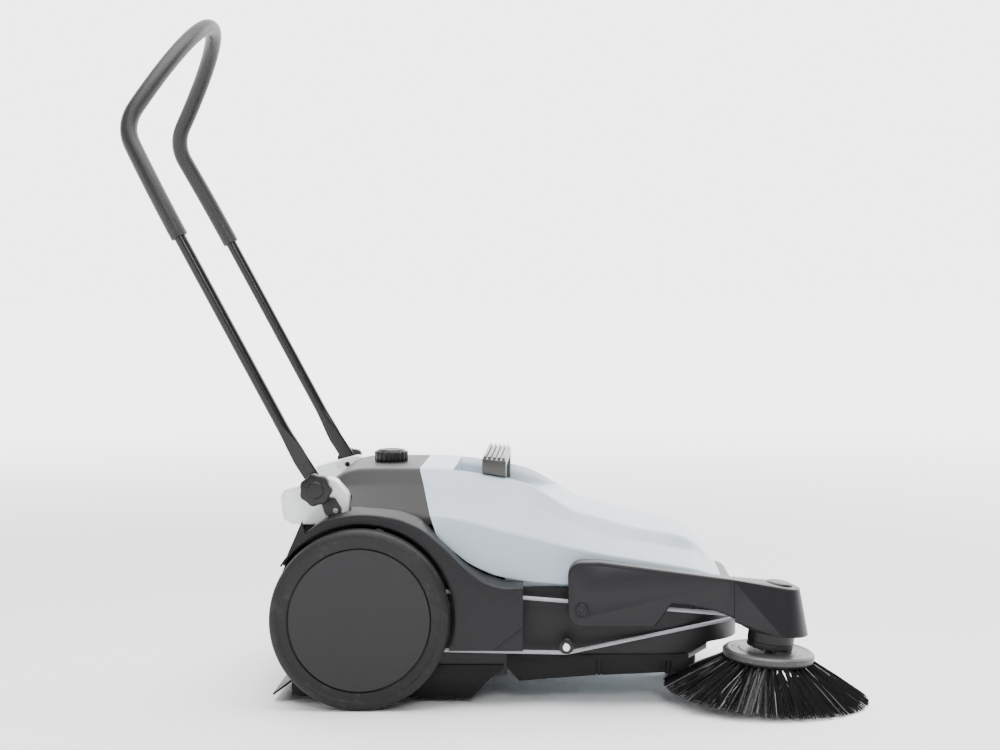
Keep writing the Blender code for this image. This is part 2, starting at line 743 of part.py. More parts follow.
def seam_cutter(keep_front, gap):
    """A big block on one side of the slanting seam between housing and hopper."""
    along = Vector((SEAM_FOOT[0] - SEAM_TOP[0], SEAM_FOOT[1] - SEAM_TOP[1])).normalized()
    across = Vector((-along.y, along.x))
    start = Vector(SEAM_TOP) - along * 0.300
    end = Vector(SEAM_TOP) + along * 0.500
    sign = -1 if keep_front else 1
    near = across * gap * -sign
    far = across * 0.600 * sign
    corners = [start + near, end + near, end + far, start + far]
    return plate([(c.x, c.y) for c in corners], -0.400, 0.400)


def make_rear_housing(dark):
    xs = [-0.101, -0.080, -0.061, -0.036, -0.010, 0.014, 0.040, 0.106, 0.150]
    foot = FRAME_TOP + GAP
    outer = loft([section_points(x, 1.0, 0.0, foot, HOPPER_HALF) for x in xs])
    inner_xs = [-0.097] + xs[1:-1] + [0.148]
    inner = loft([
        section_points(x, 1.0, SKIN, foot - 0.007, FRAME_IN + 0.0002, CREST_HALF - 0.002) for x in inner_xs
    ])
    for side in (RIGHT, LEFT):
        near = EAR_IN - 0.0008
        far = HOPPER_HALF + 0.048
        front = EAR_FRONT + 0.0025
        outer = cut(outer, side_box(side, -0.150, front, near, far, 0.280, 0.420), solver="MANIFOLD")
        wider = side_box(side, -0.160, front + SKIN, near - SKIN, far + 0.010, 0.270, 0.430)
        inner = cut(inner, wider, solver="MANIFOLD")
    hole = rod((KNOB_X, 0.0, 0.300), (KNOB_X, 0.0, 0.420), SPINDLE_RADIUS + GAP, sides=16)
    outer = cut(outer, hole, seam_cutter(False, GAP / 2), inner, solver="MANIFOLD")
    piece("rear_housing", outer, dark, "chassis", 18)


def make_hopper(pale):
    xs = [0.060, 0.1096, 0.1246, 0.1416, 0.1595, 0.177, 0.199, 0.237, 0.264, 0.301, 0.338, 0.357,
          0.400, 0.450, 0.500, 0.540, 0.565, 0.590, 0.609]
    shell = loft([section_points(x, plan_scale(x), 0.0, lerp(RIM, x), HOPPER_HALF) for x in xs])
    around = HOOD_OUT + 0.007
    over_hood = cross_rod(BROOM, -FRAME_IN - 0.0002, FRAME_IN + 0.0002, around, sides=48)
    shell = cut(shell, seam_cutter(True, GAP / 2), over_hood)
    bin_xs = [BIN_REAR, 0.300, 0.400, 0.450, 0.494, 0.515, 0.540, 0.560, 0.580, 0.600]
    bin_rings = []
    hollow_rings = []
    for x in bin_xs:
        half = min(BIN_HALF, HOPPER_HALF * plan_scale(x) - 0.021)
        base = lerp(BIN_BASE, x)
        top = lerp(RIM, x) + 0.006
        bin_rings.append([(x, -half, base), (x, half, base), (x, half, top), (x, -half, top)])
        inner = half - SKIN
        at = {BIN_REAR: BIN_REAR - 0.010, 0.600: 0.594}.get(x, x)
        hollow_rings.append([
            (at, -inner, base + SKIN), (at, inner, base + SKIN), (at, inner, top + 0.006),
            (at, -inner, top + 0.006),
        ])
    shell = join(shell, cut(loft(bin_rings), over_hood))
    hollow_xs = [0.118] + xs[3:-2] + [0.602]
    upper = loft([
        section_points(x, plan_scale(x) * 0.985, SKIN, lerp(RIM, x) + SKIN, HOPPER_HALF - 0.004,
                       CREST_HALF - 0.003, RECESS_FLOOR - SKIN)
        for x in hollow_xs
    ])
    hood_skin = cross_rod(BROOM, -HOPPER_HALF - 0.008, HOPPER_HALF + 0.008, around + SKIN, sides=48)
    upper = cut(upper, hood_skin, seam_cutter(True, SKIN + GAP))
    lower = loft(hollow_rings)
    shell = cut(shell, upper, lower)
    recess = []
    for x in (RECESS_REAR, 0.194, 0.237, 0.264, 0.301, 0.330, 0.350):
        crest = max(lerp(CREST, x), RECESS_FLOOR)
        edge = max(crest - 0.009, RECESS_FLOOR + 0.0005)
        half = [(RECESS_HALF, RECESS_FLOOR), (RECESS_HALF, edge), (CREST_HALF + 0.004, crest + 0.0025),
                (CREST_HALF + 0.004, crest + 0.040)]
        ring = half + [(-y, z) for y, z in reversed(half)]
        recess.append([(x, y, z) for y, z in ring])
    shell = cut(shell, loft(recess))
    piece("hopper_shell", shell, pale, "hopper", 18)


def make_hopper_trim(black, rubber):
    end_outline = [
        (GRIP_REAR, lerp(CREST, GRIP_REAR) + GAP * 2), (GRIP_FRONT, lerp(CREST, GRIP_FRONT) + GAP * 2),
        (GRIP_FRONT, 0.403), (GRIP_REAR, 0.407),
    ]
    grip = plate(end_outline, -CREST_HALF - 0.0025, CREST_HALF + 0.0025)
    finger = [(GRIP_REAR - 0.010, 0.330), (GRIP_FRONT + 0.010, 0.330), (GRIP_FRONT + 0.010, 0.3855),
              (GRIP_REAR - 0.010, 0.3885)]
    inner = RECESS_HALF - 0.013
    grip = cut(grip, plate(finger, -inner, inner))
    for side in (RIGHT, LEFT):
        low, high = ends(side, inner, RECESS_HALF - GAP)
        leg_outline = [(GRIP_REAR, 0.350), (GRIP_FRONT, 0.345), (GRIP_FRONT, 0.380), (GRIP_REAR, 0.384)]
        leg = plate(leg_outline, low, high)
        grip = join(grip, leg)
    pitch = (GRIP_FRONT - GRIP_REAR) / 5
    wide = CREST_HALF + 0.017
    for i in range(1, 5):
        x = GRIP_REAR + pitch * i
        top = 0.407 - (x - GRIP_REAR) * 0.1
        grip = cut(grip, box((x - 0.0014, -wide, top - 0.005), (x + 0.0014, wide, top + 0.010)))
    piece("hopper_grip", grip, black, "hopper")
    half = BIN_HALF - 0.006
    seal = box((0.2185, -half, 0.192), (0.2275, half, lerp(RIM, 0.2275) - GAP))
    piece("hopper_seal", seal, rubber, "hopper")


def make_ears(pale):
    outline = arc((-0.122, 0.345), 0.016, 185, 120, 5) + arc((-0.058, 0.3555), 0.0215, 100, 50, 4)
    outline += arc((EAR_FRONT - 0.022, 0.342), 0.022, 45, 0, 4) + [(EAR_FRONT, FRAME_TOP + GAP)]
    outline += [(-0.118, FRAME_TOP + GAP), (-0.134, 0.309)]
    for side in (RIGHT, LEFT):
        low, high = ends(side, EAR_IN, EAR_OUT)
        ear = plate(outline, low, high)
        hole = cross_rod(PIVOT, low - 0.010, high + 0.010, STUD_RADIUS + GAP, sides=16)
        piece("handle_bracket_" + name_of(side), cut(ear, hole), pale, "chassis", 35)


# The push handle's line on one side. Both legs are straight and bow inward from the grip's start to one arch.

def handle_line():
    crease, shoulder, top = Vector(HANDLE_CREASE), Vector(HANDLE_SHOULDER), Vector(HANDLE_TOP)
    low = (shoulder - crease).normalized()
    high = (top - shoulder).normalized()
    turn = low.angle(high)
    reach = HANDLE_FILLET * math.tan(turn / 2)
    enter = shoulder - low * reach
    leave = shoulder + high * reach
    upper = (top - leave).length
    bend = HANDLE_FILLET * turn

    def at(distance):
        # The distance runs down from the middle of the arch
        if distance < upper:
            place = top - high * distance
        elif distance < upper + bend:
            t = 1 - (distance - upper) / bend
            place = enter * (1 - t) ** 2 + shoulder * 2 * t * (1 - t) + leave * t * t
        else:
            place = enter - low * (distance - upper - bend)
        rest = max(1 - distance / BOW_LENGTH, 0.0)
        return (place.x, TUBE_Y * math.sqrt(1 - rest * rest), place.y)

    distances = [BOW_LENGTH, (BOW_LENGTH + upper + bend) / 2]
    distances += [upper + bend * step / 4 for step in (4, 3, 2, 1, 0)]
    distances += [BOW_LENGTH * (1 - math.cos(math.radians(degrees))) for degrees in (45, 35, 25, 15, 5)]
    return [(crease.x, TUBE_Y, crease.y)] + [at(distance) for distance in distances]


def make_handle(black, dark):
    half = handle_line()
    path = half + [(x, -y, z) for x, y, z in reversed(half)]
    outer = tube(path, TUBE_RADIUS)
    start = Vector(path[0])
    lead = (start - Vector(path[1])).normalized() * 0.0015
    end = Vector(path[-1])
    tail = (end - Vector(path[-2])).normalized() * 0.0015
    bore_path = [tuple(start + lead)] + path[1:-1] + [tuple(end + tail)]
    bore = tube(bore_path, TUBE_RADIUS - TUBE_WALL, resolution=1)
    crease = (path[0][0], path[0][2])
    flat_in = EAR_OUT + GAP
    flat_out = flat_in + 0.008
    for side in (RIGHT, LEFT):
        low, high = ends(side, flat_in, flat_out)
        above = (crease[0] - 0.004, crease[1] + 0.008)
        paddle = plate(link(above, 0.0125, (-0.067, 0.353), 0.0125), low, high)
        outer = join(outer, paddle)
    outer = cut(outer, bore)
    for side in (RIGHT, LEFT):
        low, high = ends(side, flat_in - 0.005, flat_out + 0.002)
        outer = cut(outer, cross_rod(PIVOT, low, high, STUD_RADIUS + GAP, sides=16))
    piece("handle_tube", outer, black, "handle", 35)
    sleeve = tube(path[1:-1], GRIP_RADIUS)
    piece("handle_grip", cut(sleeve, tube(path, TUBE_RADIUS + GAP)), dark, "handle", 35)
    for side in (RIGHT, LEFT):
        low, high = ends(side, flat_out + GAP, flat_out + 0.0067)
        foot = plate([(-0.071, 0.346), (-0.062, 0.318), (-0.052, 0.314), (-0.036, 0.316), (-0.034, 0.328),
                      (-0.046, 0.347)], low, high)
        hook = cross_rod((-0.045, 0.325), low - 0.010, high + 0.010, 0.0045, sides=12)
        piece("leg_foot_" + name_of(side), cut(foot, hook), black, "handle")


def make_clamp_knobs(black):
    lobes = 7
    for side in (RIGHT, LEFT):
        outline = []
        for i in range(lobes * 4):
            angle = 2 * math.pi * i / (lobes * 4)
            radius = STAR_RADIUS - STAR_WAVE + STAR_WAVE * math.cos(lobes * angle)
            outline.append((PIVOT[0] + radius * math.cos(angle), PIVOT[1] + radius * math.sin(angle)))
        star = plate(outline, *ends(side, TUBE_Y + 0.005, TUBE_Y + 0.025))
        hub = cross_rod(PIVOT, side * (TUBE_Y - 0.0022), side * (TUBE_Y + 0.007), 0.010, sides=16)
        cap = cross_rod(PIVOT, side * (TUBE_Y + 0.024), side * (TUBE_Y + 0.0275), 0.014, sides=16)
        stud = cross_rod(PIVOT, side * (EAR_IN + 0.010), side * TUBE_Y, STUD_RADIUS, sides=12)
        name = "clamp_knob_" + name_of(side)
        piece(name, join(star, hub, cap, stud), black, name, 35)


def make_height_control(black, steel):
    center = (KNOB_X, 0.0)
    outline = []
    for i in range(KNOB_RIBS * 2):
        angle = 2 * math.pi * i / (KNOB_RIBS * 2)
        radius = KNOB_RADIUS - 0.002 * (i % 2)
        outline.append((center[0] + radius * math.cos(angle), center[1] + radius * math.sin(angle)))
    knob = slab(outline, KNOB_BASE, KNOB_BASE + KNOB_HEIGHT - 0.003)
    top = KNOB_BASE + KNOB_HEIGHT
    cap = rod((*center, top - 0.004), (*center, top), KNOB_RADIUS - 0.003, KNOB_RADIUS - 0.006, sides=32)
    bore = rod((*center, KNOB_BASE - 0.010), (*center, top - 0.007), SPINDLE_RADIUS + GAP, sides=16)
    piece("height_knob", cut(join(knob, cap), bore), black, "height_knob", 30)
    angle = math.radians(45)
    pin = (KNOB_X + CRANK_ARM * math.sin(angle), CRANK_ARM * math.cos(angle))
    shaft = rod((*center, 0.316), (*center, top - 0.008), SPINDLE_RADIUS, sides=16)
    web = slab(link(center, 0.009, pin, 0.006, 7), 0.312, 0.318)
    crank = rod((*pin, 0.299), (*pin, 0.314), CRANK_PIN, sides=12)
    piece("knob_spindle", join(shaft, web, crank), steel, "height_knob", 30)
    return pin


def make_broom_arms(steel, pin, belt):
    for side in (RIGHT, LEFT):
        low, high = ends(side, ARM_IN, ARM_OUT)
        arm = plate(link(AXLE, 0.018, BROOM, 0.016), low, high)
        arm = join(arm, plate(link(AXLE, 0.013, LIFT_BAR, 0.011), low, high), solver="MANIFOLD")
        arm = cut(
            arm,
            cross_rod(AXLE, low - SKIN, high + SKIN, AXLE_RADIUS + GAP),
            cross_rod(BROOM, low - SKIN, high + SKIN, BROOM_SHAFT + GAP),
            solver="MANIFOLD",
        )
        piece("swing_arm_" + name_of(side), arm, steel, "broom_arms", 30)
    reach = ARM_IN - GAP
    bar = cross_rod(LIFT_BAR, -reach, reach, LIFT_BAR_RADIUS, sides=20)
    x0 = KNOB_X - 0.006
    riser = box((x0, -0.016, LIFT_BAR[1]), (x0 + 0.008, 0.018, 0.3045))
    tab = box((x0, -0.016, 0.3005), (pin[0] + 0.012, 0.018, 0.3045))
    play = CRANK_PIN + 0.001
    slot = box((pin[0] - play, pin[1] - play - 0.001, 0.290),
               (pin[0] + play, CRANK_ARM + play + 0.001, 0.310))
    piece("lift_bar", join(bar, riser, cut(tab, slot)), steel, "broom_arms", 30)
    points = []
    gap = math.dist(AXLE, BROOM)
    direction = math.atan2(BROOM[1] - AXLE[1], BROOM[0] - AXLE[0])
    spread = math.acos((LEFT_PITCH + BROOM_PITCH) / gap)
    steps = 11
    offset = BROOM_BELT + 0.0009
    for i in range(steps + 1):
        angle = direction + spread + (2 * math.pi - 2 * spread) * i / steps
        points.append((AXLE[0] + LEFT_PITCH * math.cos(angle), BROOM_BELT_PLANE,
                       AXLE[1] + LEFT_PITCH * math.sin(angle)))
    first_out = points[-1]
    wrap = []
    for i in range(steps + 1):
        angle = direction + math.pi - spread - (2 * math.pi - 2 * spread) * i / steps
        wrap.append((BROOM[0] + BROOM_PITCH * math.cos(angle), BROOM_BELT_PLANE,
                     BROOM[1] + BROOM_PITCH * math.sin(angle)))

    crossing = LEFT_PITCH / (LEFT_PITCH + BROOM_PITCH)

    def strand(start, end, shares, sign):
        middle = []
        for share, aside in zip(shares, (0.0, offset * sign, 0.0)):
            middle.append((start[0] + (end[0] - start[0]) * share, BROOM_BELT_PLANE + aside,
                           start[2] + (end[2] - start[2]) * share))
        return middle

    loop = points + strand(first_out, wrap[0], (0.32, crossing, 0.87), 1) + wrap
    loop += strand(wrap[-1], points[0], (0.13, 1 - crossing, 0.68), -1)
    piece("broom_belt", tube(loop, BROOM_BELT, cyclic=True, resolution=1), belt, "broom_arms", 30)


def make_main_broom(black, bristle):
    reach = BROOM_BELT_PLANE + 0.006
    core = turned([
        (0.0, reach), (BROOM_SHAFT, reach), (BROOM_SHAFT, BROOM_HALF), (BROOM_CORE, BROOM_HALF),
        (BROOM_CORE, -BROOM_HALF), (BROOM_SHAFT, -BROOM_HALF), (BROOM_SHAFT, -ARM_OUT - 0.002),
        (0.0, -ARM_OUT - 0.002),
    ], 20, side_matrix(LEFT, BROOM, 20), closed=False)
    piece("broom_core", core, black, "main_broom", 30)
    inner = BROOM_CORE + GAP
    outer = inner + TRIM
    sleeve = turned([(outer, BROOM_HALF), (outer, -BROOM_HALF), (inner, -BROOM_HALF), (inner, BROOM_HALF)],
                    20, side_matrix(LEFT, BROOM, 20))
    rows = 10
    across = 15
    strands = bmesh.new()
    for row in range(rows):
        for i in range(across):
            y = (i - (across - 1) / 2) * (2 * BROOM_HALF - 0.012) / across
            turn = 2 * math.pi * row / rows + abs(y) / BROOM_HALF * 0.55
            radial = Vector((math.cos(turn), 0.0, math.sin(turn)))
            start = Vector((BROOM[0], y, BROOM[1]))
            add_strand(strands, [
                (start + radial * (inner + 0.0015), 0.0042), (start + radial * BROOM_RADIUS, 0.0032),
            ], radial)
    piece("main_bristles", join(sleeve, from_bmesh(strands)), bristle, "main_broom")


def add_strand(bm, stations, direction):
    """A three-sided strand through stations of (point, radius), into an existing mesh."""
    side = direction.cross(Vector((0.31, 0.87, 0.4))).normalized()
    other = direction.cross(side).normalized()
    rings = []
    for point, radius in stations:
        ring = []
        for k in range(3):
            angle = 2 * math.pi * k / 3
            ring.append(bm.verts.new(point + (side * math.cos(angle) + other * math.sin(angle)) * radius))
        rings.append(ring)
    faces = [rings[0][::-1], rings[-1]]
    for near, far in zip(rings, rings[1:]):
        for k in range(3):
            faces.append((near[k], near[(k + 1) % 3], far[(k + 1) % 3], far[k]))
    for corners in faces:
        bm.faces.new(corners)


def make_side_broom(black, steel, bristle):
    shaft = SIDE_SPINDLE
    spindle = turned([
        (0.0, SPINDLE_TOP), (shaft, SPINDLE_TOP), (shaft, DISC_HEIGHT / 2 + GAP),
        (0.016, DISC_HEIGHT / 2 + GAP), (0.016, DISC_HEIGHT / 2 - 0.002),
        (shaft, DISC_HEIGHT / 2 - 0.002), (shaft, -0.010), (0.0, -0.010),
    ], 12, spin_frame, closed=False)
    piece("side_spindle", spindle, steel, "side_broom", 30)
    middle = PULLEY_HEIGHT
    bottom = HEAD_PITCH - DRIVE_BELT - 0.0011
    bore = SIDE_SPINDLE + GAP
    pulley = turned([
        (HEAD_PITCH + 0.004, middle + 0.0072), (HEAD_PITCH + 0.004, middle + 0.0054),
        (bottom, middle + 0.0042), (bottom, middle - 0.0064),
        (HEAD_PITCH + 0.0015, middle - 0.0074), (HEAD_PITCH + 0.0015, middle - 0.0088),
        (bore, middle - 0.0088), (bore, middle + 0.0072),
    ], 16, spin_frame)
    piece("side_pulley", pulley, black, "side_broom", 30)
    edge = DISC_RADIUS
    disc = turned([
        (edge - 0.004, DISC_HEIGHT / 2), (edge, DISC_HEIGHT / 2 - 0.004), (edge, -DISC_HEIGHT / 2),
        (bore, -DISC_HEIGHT / 2), (bore, DISC_HEIGHT / 2 - 0.0023), (0.0163, DISC_HEIGHT / 2 - 0.0023),
        (0.0163, DISC_HEIGHT / 2),
    ], 24, spin_frame)
    piece("broom_disc", disc, black, "side_broom", 30)
    top = -DISC_HEIGHT / 2 - GAP
    ring = turned([(edge - 0.001, top), (edge - 0.001, top - 0.005), (0.052, top - 0.005), (0.052, top)],
                  24, spin_frame)
    lean = math.acos(spin_frame.to_3x3().col[2].z)
    drop = (HEAD_FOOT.z - SIDE_FLOOR_GAP) / math.cos(lean) - SIDE_REACH * math.tan(lean)
    strands = bmesh.new()
    rows = (
        (edge - 0.006, SIDE_REACH, 1.0),
        (edge - 0.013, SIDE_REACH - 0.016, 0.99),
        (edge - 0.020, SIDE_REACH - 0.034, 0.97),
    )
    for row, (root, reach, depth) in enumerate(rows):
        for i in range(SIDE_ROW):
            angle = 2 * math.pi * (i + row / 3) / SIDE_ROW
            out = Vector((math.cos(angle), math.sin(angle), 0.0))
            start = out * root + Vector((0.0, 0.0, top - 0.0025))
            tip = out * reach + Vector((0.0, 0.0, -drop * depth))
            heading = (tip - start).normalized()
            add_strand(strands, [(start, STRAND), (tip, STRAND * 0.75)], heading)
    strands.transform(spin_frame)
    piece("side_bristles", join(ring, from_bmesh(strands)), bristle, "side_broom")


def hull_of(points):
    bm = bmesh.new()
    for point in points:
        bm.verts.new(point)
    made = bmesh.ops.convex_hull(bm, input=bm.verts)
    inner = {part for part in made["geom_interior"] if isinstance(part, bmesh.types.BMVert)}
    bmesh.ops.delete(bm, geom=list(inner), context="VERTS")
    bmesh.ops.recalc_face_normals(bm, faces=bm.faces)
    return from_bmesh(bm)


def head_ring(height, radius, sides=32):
    angles = [2 * math.pi * i / sides for i in range(sides)]
    return [head_frame @ Vector((radius * math.cos(a), radius * math.sin(a), height)) for a in angles]


def arm_section(x, outer, inner, low, high, chamfer):
    """The arm's cross-section at x, with its two outer corners cut."""
    return [(x, inner, low), (x, inner, high), (x, outer, high - chamfer), (x, outer + chamfer, high),
            (x, outer, low + chamfer), (x, outer + chamfer, low)]


def make_side_arm(dark):
    lower = [(0.489, 0.1366), (0.510, 0.165), (0.5165, 0.175), (0.549, 0.172), (0.595, 0.161), (ARM_END, 0.149)]
    corner = arc((0.369, 0.220), 0.024, 90, 180, 5) + arc((0.367, 0.1586), 0.022, 180, 270, 5)
    outline = [(ARM_END, 0.2144), (0.398, 0.244)] + corner + lower
    arm = rounded(plate(outline, -SIDE_OUT, -SIDE_IN), 0.0026, 1, 50)

    # The head is one skin drawn over the arm's end and a cone
    end = arm_section(ARM_END - 0.001, -SIDE_OUT, -SIDE_IN, 0.1440, 0.2144, 0.0026)
    rings = head_ring(CONE_FOOT, CONE_LOW) + head_ring(CONE_HEIGHT - 0.004, CONE_TOP + 0.0005)
    rings += head_ring(CONE_HEIGHT, CONE_TOP - 0.003)
    cover = join(arm, hull_of(end + rings), solver="MANIFOLD")

    # The hollow of the arm, the bell of the head, and the way through for the belt
    inside = [(ARM_END + 0.0005, 0.2108), (0.398, 0.2408)]
    inside += arc((0.369, 0.220), 0.021, 90, 180, 5) + arc((0.367, 0.1586), 0.019, 180, 270, 3)[:-1]
    inside += [(0.348, 0.120), (ARM_END + 0.0005, 0.120)]
    hollow = plate(inside, -SIDE_OUT + TRIM, -SIDE_IN + 0.020)
    slope = (CONE_LOW - CONE_TOP) / (CONE_HEIGHT - CONE_FOOT)
    mouth_end = arm_section(ARM_END - 0.002, -SIDE_OUT + TRIM, -SIDE_IN + 0.020, 0.120, 0.2108, 0.001)
    bell = head_ring(CONE_FOOT - 0.0064, CONE_LOW - TRIM + slope * 0.0064)
    bell += head_ring(CONE_HEIGHT - 0.0044, CONE_TOP - TRIM)
    mouth = box((0.600, HEAD_FOOT.y - 0.043, 0.120), (0.690, HEAD_FOOT.y + 0.037, 0.170))
    rear_window = box((0.335, -DRIVE_PLANE - 0.0065, 0.160), (0.354, -SIDE_IN + 0.010, 0.191))
    cover = cut(cover, hollow, hull_of(mouth_end + bell), mouth, rear_window, solver="MANIFOLD")
    boss = cross_rod(ARM_PIVOT, -DRIVE_PLANE - DRIVE_BELT - 0.0035, -SIDE_OUT + 0.001, 0.013, sides=16)
    bearing = rod(on_head(CONE_HEIGHT - 0.0114), on_head(CONE_HEIGHT - 0.0024), 0.018, sides=16)
    cover = join(cover, boss, bearing, solver="MANIFOLD")
    spindle = rod(on_spin(SPINDLE_TOP - 0.018), on_spin(SPINDLE_TOP + 0.0005), SIDE_SPINDLE + GAP, sides=16)
    hole = cross_rod(ARM_PIVOT, -SIDE_IN + 0.010, -SIDE_OUT - 0.010, BOLT_RADIUS + GAP, sides=16)
    under_cap = rod(on_head(CONE_HEIGHT), on_head(CONE_HEIGHT + 0.012), HEAD_CAP + GAP * 2, sides=20)
    piece("arm_cover", cut(cover, hole, spindle, under_cap, solver="MANIFOLD"), dark, "side_arm", 35)


def make_head_parts(black):
    cap_low = CONE_HEIGHT + GAP
    cap = turned([(0.0, cap_low + 0.005), (HEAD_CAP - 0.0032, cap_low + 0.005), (HEAD_CAP, cap_low + 0.0025),
                  (HEAD_CAP, cap_low), (0.0, cap_low)], 20, head_frame, closed=False)
    piece("head_cap", cap, black, "side_arm", 30)
    bore = 0.0118
    flange = CONE_FOOT + 0.0040
    slope = (CONE_LOW - CONE_TOP) / (CONE_HEIGHT - CONE_FOOT)
    outer = CONE_LOW - TRIM - slope * 0.0040 - 0.0008
    housing = turned([
        (outer, flange), (outer, flange - 0.0030), (NECK_RADIUS, flange - 0.0070), (NECK_RADIUS - 0.0005, NECK_FOOT),
        (bore, NECK_FOOT), (bore, flange),
    ], 24, head_frame)
    piece("spindle_housing", housing, black, "side_arm", 30)


def make_pivot_bolt(steel):
    head = turned([
        (0.0, SIDE_OUT + 0.004), (0.009, SIDE_OUT + 0.004), (0.010, SIDE_OUT + 0.003),
        (0.010, SIDE_OUT + GAP),
        (BOLT_RADIUS, SIDE_OUT + GAP), (BOLT_RADIUS, SIDE_IN), (0.012, SIDE_IN), (0.012, BODY_HALF + GAP),
        (0.0, BODY_HALF + GAP),
    ], 12, side_matrix(RIGHT, ARM_PIVOT, 12), closed=False)
    piece("arm_pivot_bolt", head, steel, "chassis", 30)


def make_idler(black, steel):
    low = DRIVE_PLANE - 0.0068
    high = DRIVE_PLANE + 0.0068
    core = IDLER_PITCH - DRIVE_BELT - 0.0006
    roller = turned([
        (0.012, high), (0.012, high - 0.0012), (core, high - 0.0022), (core, low + 0.0022),
        (0.012, low + 0.0012), (0.012, low), (0.0043, low), (0.0043, high),
    ], 16, side_matrix(RIGHT, IDLER, 16))
    piece("idler_roller", roller, black, "idler", 30)
    screw = turned([
        (0.0, high + 0.004), (0.0058, high + 0.004), (0.0068, high + 0.0025), (0.0068, high + GAP),
        (0.004, high + GAP), (0.004, low - GAP), (0.008, low - GAP), (0.008, BODY_HALF + GAP),
        (0.0, BODY_HALF + GAP),
    ], 12, side_matrix(RIGHT, IDLER, 12), closed=False)
    piece("idler_screw", screw, steel, "chassis", 30)


def make_drive_belt(belt):
    def on_belt(center, radius, angle):
        x = center[0] + radius * math.cos(angle)
        return Vector((x, -DRIVE_PLANE, center[1] + radius * math.sin(angle)))

    pulley = spin_frame @ Vector((0.0, 0.0, PULLEY_HEIGHT))
    turn = spin_frame.to_3x3()
    outboard = pulley + turn @ Vector((0.0, -HEAD_PITCH, 0.0))
    inboard = pulley + turn @ Vector((0.0, HEAD_PITCH, 0.0))
    upper = math.radians(85.5)
    lower = math.radians(268.8)
    points = []
    steps = 13
    for i in range(steps + 1):
        angle = lower + (upper - lower) * i / steps
        points.append(on_belt(AXLE, DRIVE_PITCH, angle))
    start = points[-1]
    for share in (0.35, 0.7):
        points.append(start.lerp(outboard, share))
    steps = 10
    for i in range(steps + 1):
        angle = -math.pi / 2 + math.pi * i / steps
        around = Vector((math.cos(angle), math.sin(angle), 0.0)) * HEAD_PITCH
        points.append(pulley + turn @ around)
    idler_exit = on_belt(IDLER, IDLER_PITCH, math.radians(-80.5))
    for share in (0.3, 0.65, 0.93):
        points.append(inboard.lerp(idler_exit, share))
    points.append(idler_exit)
    points.append(on_belt(IDLER, IDLER_PITCH, math.radians(-91.3)))
    points.append(points[-1].lerp(points[0], 0.5))
    loop = tube([tuple(p) for p in points], DRIVE_BELT, cyclic=True, resolution=1)
    piece("drive_belt", loop, belt, "chassis", 35)


def make_caster(steel, rubber):
    top = CASTER_PLATE + SKIN
    outline = []

    def edge(x):
        share = (x - BODY_CORNER_X) / (BODY_FRONT - BODY_CORNER_X)
        wall = BODY_HALF - BODY_CORNER_Y + BODY_CORNER_Y * math.sqrt(1 - share * share)
        return wall - SKIN - 0.0012

    for x in (0.528, 0.534, 0.541):
        outline.append((x, edge(x)))
    outline += [(0.556, 0.070), (0.602, 0.045)]
    full = outline + [(x, -y) for x, y in reversed(outline)]
    base = slab(full, CASTER_PLATE, top)
    race = rod((CASTER_X, 0.0, CASTER_PLATE - 0.004), (CASTER_X, 0.0, CASTER_PLATE + 0.001), 0.020, sides=24)
    stem = rod((CASTER_X, 0.0, CASTER_PLATE - 0.010), (CASTER_X, 0.0, CASTER_PLATE), 0.006, sides=16)
    piece("caster_plate", join(base, race, stem), steel, "chassis", 30)
    wheel_at = (CASTER_X - CASTER_TRAIL, CASTER_Z)
    crown = CASTER_PLATE - 0.004 - GAP
    half = 0.016
    web = box((CASTER_X - 0.020, -half - TRIM, crown - 0.003), (CASTER_X + 0.021, half + TRIM, crown))
    front = box((CASTER_X + 0.012, -half - TRIM, 0.050), (CASTER_X + 0.021, half + TRIM, crown - 0.001))
    fork = join(web, front)
    for side in (RIGHT, LEFT):
        low, high = ends(side, half, half + TRIM)
        leg = plate([
            (CASTER_X - 0.020, crown), (wheel_at[0] - 0.010, CASTER_Z + 0.006),
            (wheel_at[0] - 0.007, CASTER_Z - 0.009),
            (wheel_at[0] + 0.006, CASTER_Z - 0.010), (CASTER_X + 0.021, 0.052), (CASTER_X + 0.021, crown),
        ], low, high)
        fork = join(fork, leg)
    pin = cross_rod(wheel_at, -half - TRIM - 0.002, half + TRIM + 0.002, 0.004, sides=16)
    hole = rod((CASTER_X, 0.0, crown - 0.010), (CASTER_X, 0.0, crown + 0.010), 0.006 + GAP, sides=16)
    piece("caster_fork", cut(join(fork, pin), hole), steel, "caster_fork", 30)
    radius = CASTER_RADIUS
    wheel = turned([
        (radius - 0.003, 0.0135), (radius, 0.010), (radius, -0.010), (radius - 0.003, -0.0135),
        (0.012, -0.0135), (0.012, -half + GAP), (0.0043, -half + GAP), (0.0043, half - GAP),
        (0.012, half - GAP), (0.012, 0.0135),
    ], CASTER_STEPS, side_matrix(LEFT, wheel_at, CASTER_STEPS))
    piece("caster_wheel", wheel, rubber, "caster_wheel", 30)


def make_belt_guide(black):
    arm = box((0.559, -DRIVE_PLANE + 0.012, 0.160), (0.567, -DRIVE_PLANE + 0.084, 0.166))
    wall = body_station(0.5 + math.asin((0.563 - BODY_CORNER_X) / (BODY_FRONT - BODY_CORNER_X)) / math.pi, -1)
    inner = abs(wall[0][1]) + 0.004
    arm = cut(arm, box((0.540, -inner, 0.150), (0.590, 0.0, 0.180)))
    foot = box((0.559, -inner - 0.001, 0.150), (0.567, -inner + 0.0025, 0.176))
    piece("belt_guide", join(arm, foot), black, "chassis")


